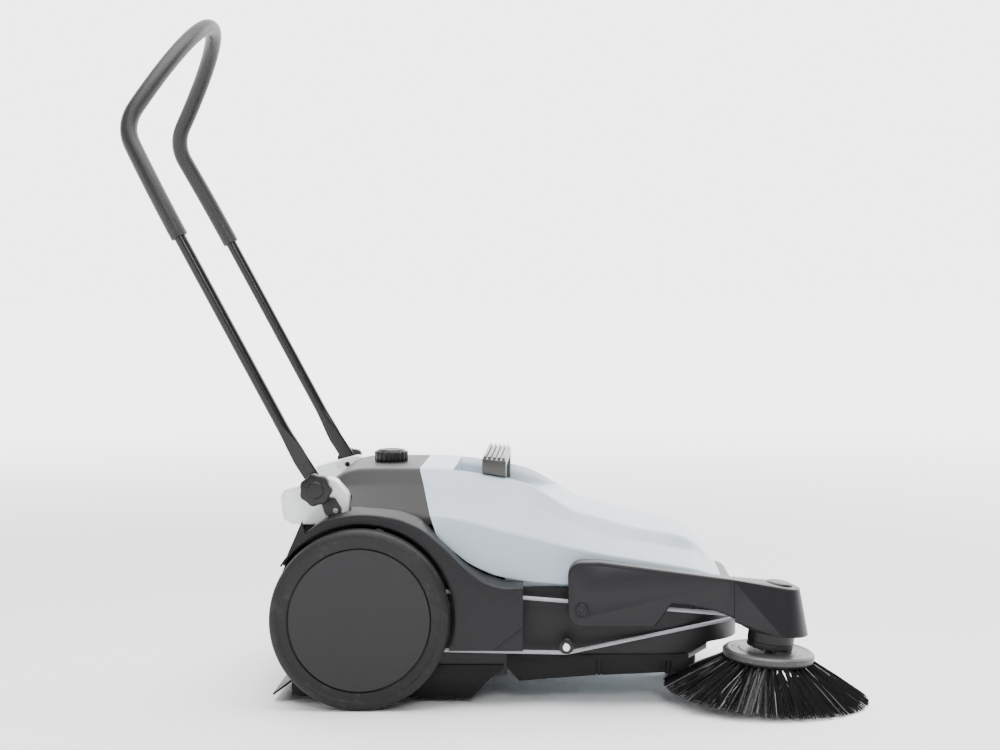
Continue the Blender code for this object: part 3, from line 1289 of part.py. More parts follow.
def main():
    clear_scene()
    black = material("black_plastic", (0.020, 0.020, 0.022), 0.45)
    dark = material("dark_grey_plastic", (0.045, 0.044, 0.048), 0.5)
    grey = material("hub_cover_plastic", (0.040, 0.040, 0.044), 0.55)
    pale = material("pale_blue_plastic", (0.46, 0.55, 0.62), 0.35)
    white = material("translucent_white_plastic", (0.80, 0.83, 0.85), 0.3)
    tyre = material("tyre_rubber", (0.030, 0.029, 0.030), 0.6)
    flap = material("flap_rubber", (0.025, 0.025, 0.026), 0.7)
    bristle = material("bristle_nylon", (0.012, 0.012, 0.013), 0.5)
    steel = material("zinc_steel", (0.55, 0.55, 0.55), 0.35, 1.0)
    painted = material("black_tube_paint", (0.012, 0.012, 0.013), 0.3)
    foam = material("grip_foam", (0.030, 0.030, 0.031), 0.6)
    cord = material("belt_rubber", (0.35, 0.36, 0.37), 0.5)

    body("chassis", (0.0, 0.0, 0.0))
    body("handle", (PIVOT[0], 0.0, PIVOT[1]), "chassis")
    for side in (RIGHT, LEFT):
        body("clamp_knob_" + name_of(side), (PIVOT[0], side * TUBE_Y, PIVOT[1]), "chassis")
        body("wheel_" + name_of(side), (AXLE[0], side * TYRE_IN, AXLE[1]), "chassis")
    body("idler", (IDLER[0], -DRIVE_PLANE, IDLER[1]), "chassis")
    body("broom_arms", (AXLE[0], 0.0, AXLE[1]), "chassis")
    body("main_broom", (BROOM[0], 0.0, BROOM[1]), "broom_arms")
    body("height_knob", (KNOB_X, 0.0, KNOB_BASE), "chassis")
    body("hopper", (0.400, 0.0, BODY_TOP), "chassis")
    body("side_arm", (ARM_PIVOT[0], -SIDE_IN, ARM_PIVOT[1]), "chassis")
    body("side_broom", HEAD_FOOT, "side_arm")
    body("caster_fork", (CASTER_X, 0.0, CASTER_PLATE), "chassis")
    body("caster_wheel", (CASTER_X - CASTER_TRAIL, 0.0, CASTER_Z), "caster_fork")

    make_wheels(black, tyre, grey, steel)
    make_pulleys(black)
    make_side_frames(dark)
    make_fenders(dark)
    make_front_body(dark)
    make_rear_panel(dark, flap)
    piece("dust_lip", make_hood(dark), flap, "chassis")
    make_skirts(flap)
    make_rear_housing(dark)
    make_hopper(pale)
    make_hopper_trim(black, flap)
    make_ears(white)
    make_handle(painted, foam)
    make_clamp_knobs(black)
    pin = make_height_control(black, steel)
    make_broom_arms(steel, pin, cord)
    make_main_broom(black, bristle)
    make_side_broom(black, steel, bristle)
    make_side_arm(dark)
    make_head_parts(black)
    make_pivot_bolt(steel)
    make_idler(black, steel)
    make_drive_belt(cord)
    make_caster(steel, tyre)
    make_belt_guide(black)

    # The middle of the machine's length and width goes over the origin
    corners = [vertex.co for obj in parts.objects if obj.type == "MESH" for vertex in obj.data.vertices]
    middle_x = (min(c.x for c in corners) + max(c.x for c in corners)) / 2
    middle_y = (min(c.y for c in corners) + max(c.y for c in corners)) / 2
    empties["chassis"].location = (-middle_x, -middle_y, 0.0)
    print("the axle stands at", round(-middle_x, 5), round(-middle_y, 5))


main()
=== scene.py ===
import json
import random
from math import acos, atan2, copysign, cos, dist, pi, radians, sin, sqrt, tan

import bmesh
import bpy
import numpy as np
from mathutils import Matrix, Vector

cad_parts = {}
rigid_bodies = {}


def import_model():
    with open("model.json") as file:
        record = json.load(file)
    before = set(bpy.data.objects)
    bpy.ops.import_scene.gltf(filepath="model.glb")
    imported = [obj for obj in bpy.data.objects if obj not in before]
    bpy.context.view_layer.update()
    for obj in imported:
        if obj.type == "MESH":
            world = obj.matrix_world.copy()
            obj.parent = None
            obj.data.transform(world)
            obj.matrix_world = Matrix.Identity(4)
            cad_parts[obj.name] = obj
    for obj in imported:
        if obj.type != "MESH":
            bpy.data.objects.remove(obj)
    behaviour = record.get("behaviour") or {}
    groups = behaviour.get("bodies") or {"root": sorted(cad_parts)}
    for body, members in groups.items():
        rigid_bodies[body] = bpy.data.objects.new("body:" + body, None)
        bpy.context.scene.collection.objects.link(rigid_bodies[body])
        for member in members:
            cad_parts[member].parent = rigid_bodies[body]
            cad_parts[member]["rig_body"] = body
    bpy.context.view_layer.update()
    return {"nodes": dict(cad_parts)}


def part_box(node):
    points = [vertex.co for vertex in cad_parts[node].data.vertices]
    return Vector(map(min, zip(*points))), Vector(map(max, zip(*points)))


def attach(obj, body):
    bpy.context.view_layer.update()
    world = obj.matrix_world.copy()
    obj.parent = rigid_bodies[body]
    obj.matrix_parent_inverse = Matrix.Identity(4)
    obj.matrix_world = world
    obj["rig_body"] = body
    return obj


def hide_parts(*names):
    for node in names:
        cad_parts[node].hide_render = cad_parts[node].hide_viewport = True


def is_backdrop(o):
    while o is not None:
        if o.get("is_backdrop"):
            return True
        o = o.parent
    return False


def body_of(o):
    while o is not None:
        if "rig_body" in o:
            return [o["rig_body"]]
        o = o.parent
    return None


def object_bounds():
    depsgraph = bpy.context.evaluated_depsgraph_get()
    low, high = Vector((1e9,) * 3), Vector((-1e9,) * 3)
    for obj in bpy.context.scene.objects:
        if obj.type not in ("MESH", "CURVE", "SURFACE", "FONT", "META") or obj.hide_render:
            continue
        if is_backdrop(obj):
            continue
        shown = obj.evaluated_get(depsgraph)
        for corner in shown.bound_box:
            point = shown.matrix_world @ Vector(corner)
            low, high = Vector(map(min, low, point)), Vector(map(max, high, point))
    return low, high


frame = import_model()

# Everything is drawn from the wheel axle: X = 0 at the axle, Y = 0 at the middle, Z = 0 at the floor
axleLow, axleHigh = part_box("axle_right")
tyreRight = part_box("tyre_right")
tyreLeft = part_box("tyre_left")
shift = Vector(((axleLow.x + axleHigh.x) / 2, (tyreRight[0].y + tyreLeft[1].y) / 2, 0.0))
right = -1
left = 1
gap = 0.0003


# Paint. Wire lets shader maths read like sums.

class Wire:
    def __init__(self, paint, socket):
        self.paint = paint
        self.socket = socket

    def maths(self, operation, other):
        return self.paint.node("Math", {"operation": operation}, {0: self, 1: other})

    def __add__(self, other):
        return self.maths("ADD", other)

    def __mul__(self, other):
        return self.maths("MULTIPLY", other)

    __radd__ = __add__


class Nodes:
    def __init__(self, tree):
        self.tree = tree

    def node(self, kind, settings=None, inputs=None, output=0):
        made = self.tree.nodes.new("ShaderNode" + kind)
        for key, value in (settings or {}).items():
            setattr(made, key, value)
        for key, value in (inputs or {}).items():
            self.join(value, made.inputs[key])
        return Wire(self, made.outputs[output])

    def join(self, value, socket):
        if isinstance(value, Wire):
            self.tree.links.new(value.socket, socket)
        else:
            socket.default_value = value


class Paint(Nodes):
    def __init__(self, name, slot, specular=0.5):
        self.material = bpy.data.materials.new(name)
        self.material.use_nodes = True
        super().__init__(self.material.node_tree)
        self.shader = self.tree.nodes["Principled BSDF"]
        self.slot = slot
        self.feed("IOR", 1.5)
        self.feed("Specular IOR Level", specular)

    def feed(self, socket, value):
        self.join(value, self.shader.inputs[socket])

    def place(self):
        return self.node("TexCoord", output="Object")

    def noise(self, scale, detail, stretch=(1.0, 1.0, 1.0), rough=0.5):
        at = self.node("VectorMath", {"operation": "MULTIPLY"}, {0: self.place(), 1: stretch})
        return self.node("TexNoise", None, {"Vector": at, "Scale": scale, "Detail": detail, "Roughness": rough})

    def between(self, factor, first, second):
        first, second = ((*tone, 1.0) if isinstance(tone, tuple) else tone for tone in (first, second))
        return self.node("Mix", {"data_type": "RGBA"}, {0: factor, 6: first, 7: second}, 2)

    def relief(self, height, depth, below=None):
        inputs = {"Height": height, "Distance": depth, "Strength": 1.0}
        if below:
            inputs["Normal"] = below
        return self.node("Bump", None, inputs)

    def stepped(self, value, low, high):
        return self.node("MapRange", {"interpolation_type": "SMOOTHSTEP"},
                         {"Value": value, "From Min": low, "From Max": high})


def shade(color, amount):
    return tuple(min(max(c * amount, 0.0), 1.0) for c in color)


# What a moulded plastic has where its own look says nothing else
usualLook = {"specular": 0.5, "cloud": 9.0, "grain": 1400.0, "depth": 0.00006, "fleck": 0.15, "fleckScale": 700.0,
             "dustAndTopSheen": 0.06}
# Colour of the dust and of the painted top sheen on faces that point up
dustAndSheenColor = (0.62, 0.6, 0.55)


def mouldedPlastic(name, slot, ownLook):
    look = {**usualLook, **ownLook}
    paint = Paint(name, slot, look["specular"])
    cloud = paint.noise(look["cloud"], 3.0)
    grain = paint.noise(look["grain"], 2.0)
    fleck = paint.stepped(paint.noise(look["fleckScale"], 1.0), 0.6, 0.72)
    base = paint.between(cloud, shade(look["color"], 0.9), shade(look["color"], 1.1))
    base = paint.between(fleck * look["fleck"], base, shade(look["color"], 2.2))
    # Faces that point up are painted lighter and warmer: partly dust, partly a painted sheen where the top light
    # falls
    upward = paint.node("SeparateXYZ", None, {0: paint.node("NewGeometry", output="Normal")}, 2)
    dustAndTopSheen = paint.stepped(upward, 0.35, 1.0) * look["dustAndTopSheen"] * (cloud + 0.4)
    paint.feed("Base Color", paint.between(dustAndTopSheen, base, dustAndSheenColor))
    paint.feed("Roughness", look["rough"] - 0.06 + cloud * 0.1 + grain * 0.04)
    paint.feed("Normal", paint.relief(grain, look["depth"]))
    return paint


blackPlastic = mouldedPlastic("blackPlastic", "black_plastic", {
    "color": (0.006, 0.006, 0.0068), "rough": 0.36, "specular": 0.34, "dustAndTopSheen": 0.02})
darkPlastic = mouldedPlastic("darkPlastic", "dark_grey_plastic", {
    "color": (0.0098, 0.0092, 0.0108), "rough": 0.38, "fleck": 0.1, "dustAndTopSheen": 0.01, "specular": 0.26})
housingPlastic = mouldedPlastic("housingPlastic", "dark_grey_plastic", {
    "color": (0.0142, 0.0138, 0.0133), "rough": 0.46, "fleck": 0.06, "dustAndTopSheen": 0.008, "specular": 0.22})
ribPlastic = mouldedPlastic("ribPlastic", "black_plastic", {
    "color": (0.03, 0.029, 0.027), "rough": 0.3, "specular": 0.6, "dustAndTopSheen": 0.1})
discPlastic = mouldedPlastic("discPlastic", "hub_cover_plastic", {
    "color": (0.046, 0.046, 0.047), "rough": 0.38, "fleck": 0.8, "fleckScale": 300.0, "dustAndTopSheen": 0.05, "specular": 0.5})
coverPlastic = mouldedPlastic("coverPlastic", "hub_cover_plastic", {
    "color": (0.0205, 0.0205, 0.0215), "rough": 0.6, "fleck": 0.14, "dustAndTopSheen": 0.02, "grain": 900.0, "specular": 0.28})
paleBlue = mouldedPlastic("paleBlue", "pale_blue_plastic", {
    "color": (0.4, 0.475, 0.535), "rough": 0.33, "fleck": 0.02, "dustAndTopSheen": 0.08, "cloud": 4.0, "depth": 0.00003})
seeThrough = mouldedPlastic("seeThrough", "translucent_white_plastic", {
    "color": (0.93, 0.96, 0.97), "rough": 0.3, "fleck": 0.0, "dustAndTopSheen": 0.0})
seeThrough.feed("Transmission Weight", 0.35)
tubePaint = mouldedPlastic("tubePaint", "black_tube_paint", {
    "color": (0.0036, 0.0036, 0.004), "rough": 0.24, "specular": 0.32, "fleck": 0.03, "dustAndTopSheen": 0.0, "depth": 0.00002})
tubePaint.feed("Coat Weight", 0.1)
tubePaint.feed("Coat Roughness", 0.12)


def rubberFinish(name, slot, color, rough, speckle):
    paint = Paint(name, slot, specular=0.22)
    cloud = paint.noise(14.0, 4.0)
    grain = paint.noise(620.0, 3.0, rough=0.65)
    scuff = paint.stepped(paint.noise(46.0, 5.0, rough=0.7), 0.52, 0.74)
    base = paint.between(cloud, shade(color, 0.82), shade(color, 1.22))
    base = paint.between(scuff * speckle, base, (0.16, 0.155, 0.15))
    paint.feed("Base Color", base)
    paint.feed("Roughness", cloud * 0.12 + scuff * 0.1 + (rough - 0.08))
    paint.feed("Normal", paint.relief(grain, 0.00012))
    return paint


tyreRubber = rubberFinish("tyreRubber", "tyre_rubber", (0.0135, 0.013, 0.0138), 0.5, 0.1)
flapRubber = rubberFinish("flapRubber", "flap_rubber", (0.0028, 0.0028, 0.003), 0.52, 0.03)
casterRubber = rubberFinish("casterRubber", "tyre_rubber", (0.022, 0.0215, 0.022), 0.5, 0.15)
beltRubber = rubberFinish("beltRubber", "belt_rubber", (0.31, 0.315, 0.33), 0.45, 0.15)


def foamFinish():
    paint = Paint("gripFoam", "grip_foam", specular=0.42)
    cloud = paint.noise(9.0, 2.0)
    grain = paint.noise(1100.0, 2.0)
    paint.feed("Base Color", paint.between(cloud, (0.0058, 0.0058, 0.006), (0.0098, 0.0098, 0.01)))
    paint.feed("Roughness", 0.36 + cloud * 0.12 + grain * 0.05)
    paint.feed("Normal", paint.relief(grain, 0.0001, paint.relief(cloud, 0.0012)))
    return paint


def steelFinish(name, color, rough):
    paint = Paint(name, "zinc_steel")
    brushed = paint.noise(260.0, 3.0, (1.0, 8.0, 1.0))
    cloud = paint.noise(18.0, 3.0)
    paint.feed("Metallic", 1.0)
    paint.feed("Base Color", paint.between(cloud, shade(color, 0.86), shade(color, 1.1)))
    paint.feed("Roughness", rough - 0.06 + brushed * 0.12 + cloud * 0.06)
    paint.feed("Normal", paint.relief(brushed, 0.00003))
    return paint


def bristleFinish():
    paint = Paint("bristleNylon", "bristle_nylon", specular=0.38)
    tone = paint.noise(420.0, 2.0, (1.0, 1.0, 0.12))
    glintStrandPick = paint.node("NewGeometry", output="Random Per Island")
    base = paint.between(paint.stepped(tone, 0.44, 0.62), (0.0022, 0.0022, 0.0024), (0.008, 0.0079, 0.0081))
    # A few strands, picked at random, are painted near-white as painted glints
    base = paint.between(paint.stepped(glintStrandPick, 0.945, 0.985), base, (0.4, 0.396, 0.39))
    paint.feed("Base Color", base)
    paint.feed("Roughness", 0.34 + tone * 0.25)
    return paint


gripFoam = foamFinish()
zincSteel = steelFinish("zincSteel", (0.56, 0.56, 0.55), 0.34)
screwSteel = steelFinish("screwSteel", (0.78, 0.78, 0.77), 0.26)
bristleNylon = bristleFinish()
print("paints ready")


# Shape tools

def newObject(mesh, name="form"):
    obj = bpy.data.objects.new(name, mesh)
    bpy.context.scene.collection.objects.link(obj)
    return obj


def settle(obj):
    graph = bpy.context.evaluated_depsgraph_get()
    mesh = bpy.data.meshes.new_from_object(obj.evaluated_get(graph), depsgraph=graph)
    mesh.transform(obj.matrix_world)
    old = obj.data
    bpy.data.objects.remove(obj)
    if not old.users:
        bpy.data.meshes.remove(old)
    mesh.materials.clear()
    return newObject(mesh)


def fromMesh(bm):
    mesh = bpy.data.meshes.new("form")
    bm.to_mesh(mesh)
    bm.free()
    return newObject(mesh)


def loft(rings, looped=False):
    bm = bmesh.new()
    made = [[bm.verts.new(point) for point in ring] for ring in rings]
    for near, far in zip(made, made[1:] + made[:1] if looped else made[1:]):
        for i in range(len(near)):
            j = (i + 1) % len(near)
            bm.faces.new((near[i], near[j], far[j], far[i]))
    if not looped:
        bm.faces.new(made[0][::-1])
        bm.faces.new(made[-1])
    bmesh.ops.recalc_face_normals(bm, faces=bm.faces)
    return fromMesh(bm)


def filleted(points, cuts, count, closed=True):
    made = []
    total = len(points)
    for i, point in enumerate(points):
        here = Vector(point)
        if not closed and i in (0, total - 1):
            made.append(tuple(here))
            continue
        before, after = Vector(points[i - 1]), Vector(points[(i + 1) % total])
        cut = cuts[i] if isinstance(cuts, (list, tuple)) else cuts
        enter = here + (before - here).normalized() * min(cut, (before - here).length * 0.46)
        leave = here + (after - here).normalized() * min(cut, (after - here).length * 0.46)
        for k in range(count):
            t = k / (count - 1)
            made.append(tuple(enter * (1 - t) ** 2 + here * 2 * t * (1 - t) + leave * t * t))
    return made


def turned(profile, place, steps, closed=True):
    bm = bmesh.new()
    rings = []
    for radius, height in profile:
        # On the axis a ring is one point
        rings.append([bm.verts.new((x, y, height)) for x, y in (circle(radius, steps) if radius else [(0.0, 0.0)])])
    for near, far in zip(rings, rings[1:] + rings[:1] if closed else rings[1:]):
        for k in range(steps):
            n = (k + 1) % steps
            corners = []
            for vert in (near[k % len(near)], near[n % len(near)], far[n % len(far)], far[k % len(far)]):
                if vert not in corners:
                    corners.append(vert)
            if len(corners) > 2:
                bm.faces.new(corners)
    bmesh.ops.recalc_face_normals(bm, faces=bm.faces)
    bm.transform(place)
    return fromMesh(bm)


def plate(outline, y0, y1):
    return loft([[(x, y, z) for x, z in outline] for y in sorted((y0, y1))])


def block(low, high):
    outline = [(low[0], low[2]), (high[0], low[2]), (high[0], high[2]), (low[0], high[2])]
    return plate(outline, low[1], high[1])


def rodBetween(start, end, radius, endRadius=None, steps=48):
    start, end = Vector(start), Vector(end)
    turn = (end - start).to_track_quat("Z", "Y").to_matrix().to_4x4()
    last = radius if endRadius is None else endRadius
    profile = [(0.0, 0.0), (radius, 0.0), (last, (end - start).length), (0.0, (end - start).length)]
    return turned(profile, Matrix.Translation(start) @ turn, steps, closed=False)


def crossRod(at, y0, y1, radius, steps=48):
    return rodBetween((at[0], y0, at[1]), (at[0], y1, at[1]), radius, steps=steps)


def combine(target, others, operation):
    for other in others:
        step = target.modifiers.new("combine", "BOOLEAN")
        step.operation = operation
        step.solver = "MANIFOLD"
        step.object = other
        target = settle(target)
        bpy.data.objects.remove(other)
    return target


def carve(target, *others):
    return combine(target, others, "DIFFERENCE")


def fuse(target, *others):
    return combine(target, others, "UNION")


def soften(obj, width, segments=3, angle=30):
    bm = bmesh.new()
    bm.from_mesh(obj.data)
    bmesh.ops.remove_doubles(bm, verts=bm.verts, dist=0.00001)
    bmesh.ops.dissolve_limit(bm, angle_limit=radians(1.0), verts=bm.verts, edges=bm.edges)
    bm.to_mesh(obj.data)
    bm.free()
    step = obj.modifiers.new("edges", "BEVEL")
    step.width = width
    step.segments = segments
    step.limit_method = "ANGLE"
    step.angle_limit = radians(angle)
    return settle(obj)


def sweep(path, section, looped=False):
    points = [Vector(p) for p in path]
    total = len(points)
    rings = []
    across = Vector((0.0, 1.0, 0.0))
    for i, point in enumerate(points):
        if looped:
            along = points[(i + 1) % total] - points[i - 1]
        else:
            along = points[min(i + 1, total - 1)] - points[max(i - 1, 0)]
        along.normalize()
        across = (across - along * across.dot(along)).normalized()
        up = along.cross(across).normalized()
        shape = section(i) if callable(section) else section
        rings.append([tuple(point + up * a + across * b) for a, b in shape])
    return rings


def circle(radius, steps):
    return [(radius * cos(2 * pi * k / steps), radius * sin(2 * pi * k / steps)) for k in range(steps)]


def arc(center, radius, start, end, count):
    angles = [radians(angle) for angle in spread(start, end, count)]
    return [(center[0] + radius * cos(a), center[1] + radius * sin(a)) for a in angles]


def outward(side, at):
    return Matrix.Translation((at[0], 0.0, at[1])) @ Matrix.Rotation(pi / 2 * -side, 4, "X")


def sideName(side):
    return "right" if side == right else "left"


def smoothCurve(table):
    xs, zs = (np.array(column, float) / 1000 for column in zip(*table))
    step = np.diff(xs)
    slope = np.diff(zs) / step
    lean = np.concatenate([[slope[0]], np.zeros(len(xs) - 2), [slope[-1]]])
    for i in range(1, len(xs) - 1):
        if slope[i - 1] * slope[i] > 0:
            w1, w2 = 2 * step[i] + step[i - 1], step[i] + 2 * step[i - 1]
            lean[i] = (w1 + w2) / (w1 / slope[i - 1] + w2 / slope[i])

    def height(x):
        x = min(max(x, xs[0]), xs[-1])
        i = min(int(np.searchsorted(xs, x, side="right")) - 1, len(xs) - 2)
        t = (x - xs[i]) / step[i]
        return float((1 + 2 * t) * (1 - t) ** 2 * zs[i] + t * (1 - t) ** 2 * step[i] * lean[i]
                     + t * t * (3 - 2 * t) * zs[i + 1] + t * t * (t - 1) * step[i] * lean[i + 1])
    return height


def spread(low, high, count):
    return [low + (high - low) * i / (count - 1) for i in range(count)]


def span(side, near, far):
    return sorted((side * near, side * far))


def eased(t):
    t = min(max(t, 0.0), 1.0)
    return t * t * (3 - 2 * t)


def upright(z):
    return Vector((0.0, 0.0, z))


def axisRod(place, low, high, radius):
    return rodBetween(place @ upright(low), place @ upright(high), radius)


def around(center, radius, angle, y):
    return Vector((center[0] + radius * cos(angle), y, center[1] + radius * sin(angle)))


def lathe(points, cut, count, place, steps, closed=True):
    return turned(filleted(points, cut, count, closed), place, steps, closed)


def roundedRing(x, corners, cuts, count):
    return [(x, y, z) for y, z in filleted(corners, cuts, count)]


def mirroredRing(x, half, cuts, count):
    return roundedRing(x, half + [(-y, z) for y, z in reversed(half)], cuts + cuts[::-1], count)


def fit(name, obj, paint, *nodes, body=None, smooth=32):
    obj.name = name
    obj.data.name = name
    mesh = obj.data
    mesh.materials.clear()
    mesh.materials.append(paint.material)
    mesh.shade_smooth()
    mesh.set_sharp_from_angle(angle=radians(smooth))
    obj.location = shift
    bpy.context.view_layer.update()
    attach(obj, body or body_of(frame["nodes"][nodes[0]])[0])
    if nodes:
        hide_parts(*nodes)


def dress(node, obj, paint, smooth=32):
    # Most pieces take the name of the solid that they replace
    fit(node + "_form", obj, paint, node, smooth=smooth)


# Camera, lamps and floor

camera = {"lens": 73.27, "place": (0.3498, -3.67, 0.7046), "slide": (-0.071, -0.091)}
lamps = {
    "topLight": {"place": (0.2, -0.5, 3.0), "aim": (0.1, 0.0, 0.3), "size": (3.4, 2.2), "power": 180.0},
    "frontLight": {"place": (0.9, -4.2, 2.6), "aim": (0.1, 0.0, 0.4), "size": (1.8, 1.2), "power": 95.0},
    "sideLight": {"place": (-3.2, -1.6, 1.6), "aim": (-0.2, 0.0, 0.5), "size": (1.0, 2.6), "power": 20.0},
    "backLight": {"place": (2.4, 2.8, 2.4), "aim": (0.1, 0.0, 0.4), "size": (2.2, 2.0), "power": 60.0},
}

# A bright backdrop behind the machine and a dimmer room before it; the floor brightens towards the backdrop
studio = {"near": 0.27, "far": 4.4, "fadeFrom": -0.12, "fadeTo": 0.88, "floorGlow": 3.0, "glowFrom": 0.9,
          "glowTo": 7.0, "floorHalf": 60.0, "floorDrop": 0.0004}

lens = bpy.data.cameras.new("camera")
lens.lens = camera["lens"]
lens.sensor_width = 36.0
lens.shift_x, lens.shift_y = camera["slide"]
eye = newObject(lens, "camera")
eye.location = Vector(camera["place"]) + shift
eye.rotation_euler = (radians(90.0), 0.0, 0.0)
bpy.context.scene.camera = eye

for name, lamp in lamps.items():
    light = bpy.data.lights.new(name, "AREA")
    light.shape = "RECTANGLE"
    light.size, light.size_y = lamp["size"]
    light.energy = lamp["power"]
    holder = newObject(light, name)
    holder.location = lamp["place"]
    holder.rotation_euler = (Vector(lamp["aim"]) - Vector(lamp["place"])).to_track_quat("-Z", "Y").to_euler()

world = bpy.data.worlds.new("studio")
world.use_nodes = True
sky = Nodes(world.node_tree)
ahead = sky.node("SeparateXYZ", None, {0: sky.node("TexCoord", output="Generated")}, "Y")
fade = sky.node("MapRange", {"interpolation_type": "SMOOTHSTEP"}, {
    "Value": ahead, "From Min": studio["fadeFrom"], "From Max": studio["fadeTo"], "To Min": studio["near"],
    "To Max": studio["far"]})
background = world.node_tree.nodes["Background"]
sky.join(fade, background.inputs["Strength"])
sky.join((0.98, 0.99, 1.0, 1.0), background.inputs["Color"])
bpy.context.scene.world = world

floorPaint = Paint("paleFloor", None)
floorTone = floorPaint.noise(0.8, 3.0)
floorPaint.feed("Base Color", floorPaint.between(floorTone, (0.9, 0.903, 0.907), (0.92, 0.922, 0.925)))
floorPaint.feed("Roughness", 0.75)
away = floorPaint.node("VectorMath", {"operation": "LENGTH"}, {0: floorPaint.place()}, "Value")
glow = floorPaint.stepped(away, studio["glowFrom"], studio["glowTo"])
floorPaint.feed("Emission Color", floorPaint.between(glow, (0.0, 0.0, 0.0), (0.98, 0.99, 1.0)))
floorPaint.feed("Emission Strength", studio["floorGlow"])
bm = bmesh.new()
bmesh.ops.create_grid(bm, x_segments=4, y_segments=4, size=studio["floorHalf"])
floor = fromMesh(bm)
floor.name = "floor"
floor.location = (0.0, 0.0, -studio["floorDrop"])
floor.data.materials.append(floorPaint.material)
floor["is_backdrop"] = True
print("camera, floor and light ready")


# Wheels

wheel = {"radius": 0.15, "steps": 144, "in": 0.28, "out": 0.32, "bore": 0.128, "cover": 0.118,
         "barrel": 0.27, "axle": 0.008, "washer": {right: 0.2655, left: 0.2555}, "grooves": (-0.008, 0.0, 0.008)}
axle = (0.0, wheel["radius"] * cos(pi / 36))
bore = wheel["axle"] + gap
frameFace = 0.2383  # where the side frames end, out from the middle

for side in (right, left):
    name = sideName(side)
    place = outward(side, axle)
    inner, outer, coverRim, axleRadius = (wheel[key] for key in ("in", "out", "cover", "axle"))
    middle = (inner + outer) / 2
    radius = axle[1]
    profile = filleted([
        (wheel["bore"], outer - 0.0027), (coverRim + 0.0016, outer - 0.0027), (coverRim + 0.0016, outer - 0.0018),
        (0.1335, outer - 0.0012), (0.135, outer), (0.1405, outer), (0.1465, outer - 0.004),
        (radius - 0.0004, middle + 0.0125)], 0.0012, 3, False)
    for groove in reversed(wheel["grooves"]):
        at = middle + groove
        profile += [(radius, at + 0.0014), (radius - 0.0014, at + 0.0008), (radius - 0.0014, at - 0.0008),
                    (radius, at - 0.0014)]
    profile += filleted([(radius - 0.0004, middle - 0.0125), (0.1465, inner + 0.004), (0.1405, inner),
                         (wheel["bore"], inner)], 0.0012, 3, False)
    fit("tyre_form_" + name, turned(profile, place, wheel["steps"]), tyreRubber, "tyre_" + name, smooth=40)
    face = outer - 0.003
    rim = wheel["bore"] - gap * 2
    seat = coverRim + 0.003
    hub = [(rim, face), (rim, inner + 0.003), (seat, inner + 0.003), (seat, face - 0.014), (0.06, face - 0.017),
           (0.022, face - 0.014), (0.022, wheel["barrel"]), (bore, wheel["barrel"]), (bore, face - 0.0065),
           (seat, face - 0.0065), (seat, face)]
    fit("hub_form_" + name, lathe(hub, 0.0012, 4, place, 96), blackPlastic, "wheel_hub_" + name)
    cover = [(0.0, face + 0.0002), (0.04, face + 0.0002)]
    cover += filleted([
        (0.04, face + 0.0002), (coverRim - 0.0045, face + 0.0001), (coverRim - 0.0035, face + 0.0006),
        (coverRim - 0.0014, face + 0.0006), (coverRim, face - 0.0022), (coverRim, face - 0.0057),
    ], 0.0009, 4, False)[1:]
    cover.append((0.0, face - 0.0057))
    fit("cover_form_" + name, turned(cover, place, 120, closed=False), coverPlastic, "hub_cover_" + name)
    washer = wheel["washer"][side]
    stub = [(0.0, face - 0.007), (axleRadius, face - 0.007), (axleRadius, washer), (0.012, washer), (0.012, 0.25),
            (axleRadius, 0.25), (axleRadius, 0.238), (0.016, 0.238), (0.016, 0.234), (0.0, 0.234)]
    fit("axle_form_" + name, lathe(stub, 0.0006, 3, place, 48, False), zincSteel, "axle_" + name)
print("wheels ready")


# Belt pulleys, idler and bolts

pulleys = {"drivePlane": 0.274, "drivePitch": 0.053, "belt": 0.0033, "broomPlane": 0.262, "leftPitch": 0.042,
           "broomPitch": 0.02, "broomBelt": 0.0025, "idlerPitch": 0.0105, "flange": 0.004}
broom = (0.095, 0.126)
idler = (0.3422, 0.1)
armPivot = (0.3675, 0.1653)


def grooved(pitch, belt, slack, low, high, bore):
    middle = (low + high) / 2
    bottom = pitch - belt - slack
    flange = pitch + pulleys["flange"]
    return [(flange, high), (flange, middle + belt + 0.0018), (bottom, middle + belt + 0.0006),
            (bottom, middle - belt - 0.0006), (flange, middle - belt - 0.0018), (flange, low),
            (bore, low), (bore, high)]


seat = wheel["barrel"] - gap
high = wheel["barrel"] + 0.0105
drive = grooved(pulleys["drivePitch"], pulleys["belt"], 0.001, pulleys["drivePlane"] - 0.008, high, bore)
drive[-1:] = [(bore, seat), (0.0226, seat), (0.0226, high)]
fit("drive_pulley_form", lathe(drive, 0.0008, 3, outward(right, axle), 96), blackPlastic, "side_broom_drive_pulley")
low, high = pulleys["broomPlane"] - 0.006, pulleys["broomPlane"] + 0.006
leftDrive = grooved(pulleys["leftPitch"], pulleys["broomBelt"], 0.0008, low, high, bore)
leftDrive[-1:] = [(bore, seat), (0.02, seat), (0.02, high)]
fit("left_pulley_form", lathe(leftDrive, 0.0008, 3, outward(left, axle), 96), blackPlastic,
    "main_broom_drive_pulley")
small = grooved(pulleys["broomPitch"], pulleys["broomBelt"], 0.0006, low, high, 0.0083)
dress("broom_pulley", lathe(small, 0.0006, 3, outward(left, broom), 72), blackPlastic)

low, high = pulleys["drivePlane"] - 0.0068, pulleys["drivePlane"] + 0.0068
core = pulleys["idlerPitch"] - pulleys["belt"] - 0.0006
roller = [(0.012, high), (0.012, high - 0.0012), (core, high - 0.0022), (core, low + 0.0022), (0.012, low + 0.0012),
          (0.012, low), (0.0043, low), (0.0043, high)]
fit("idler_form", lathe(roller, 0.0004, 3, outward(right, idler), 64), blackPlastic, "idler_roller")


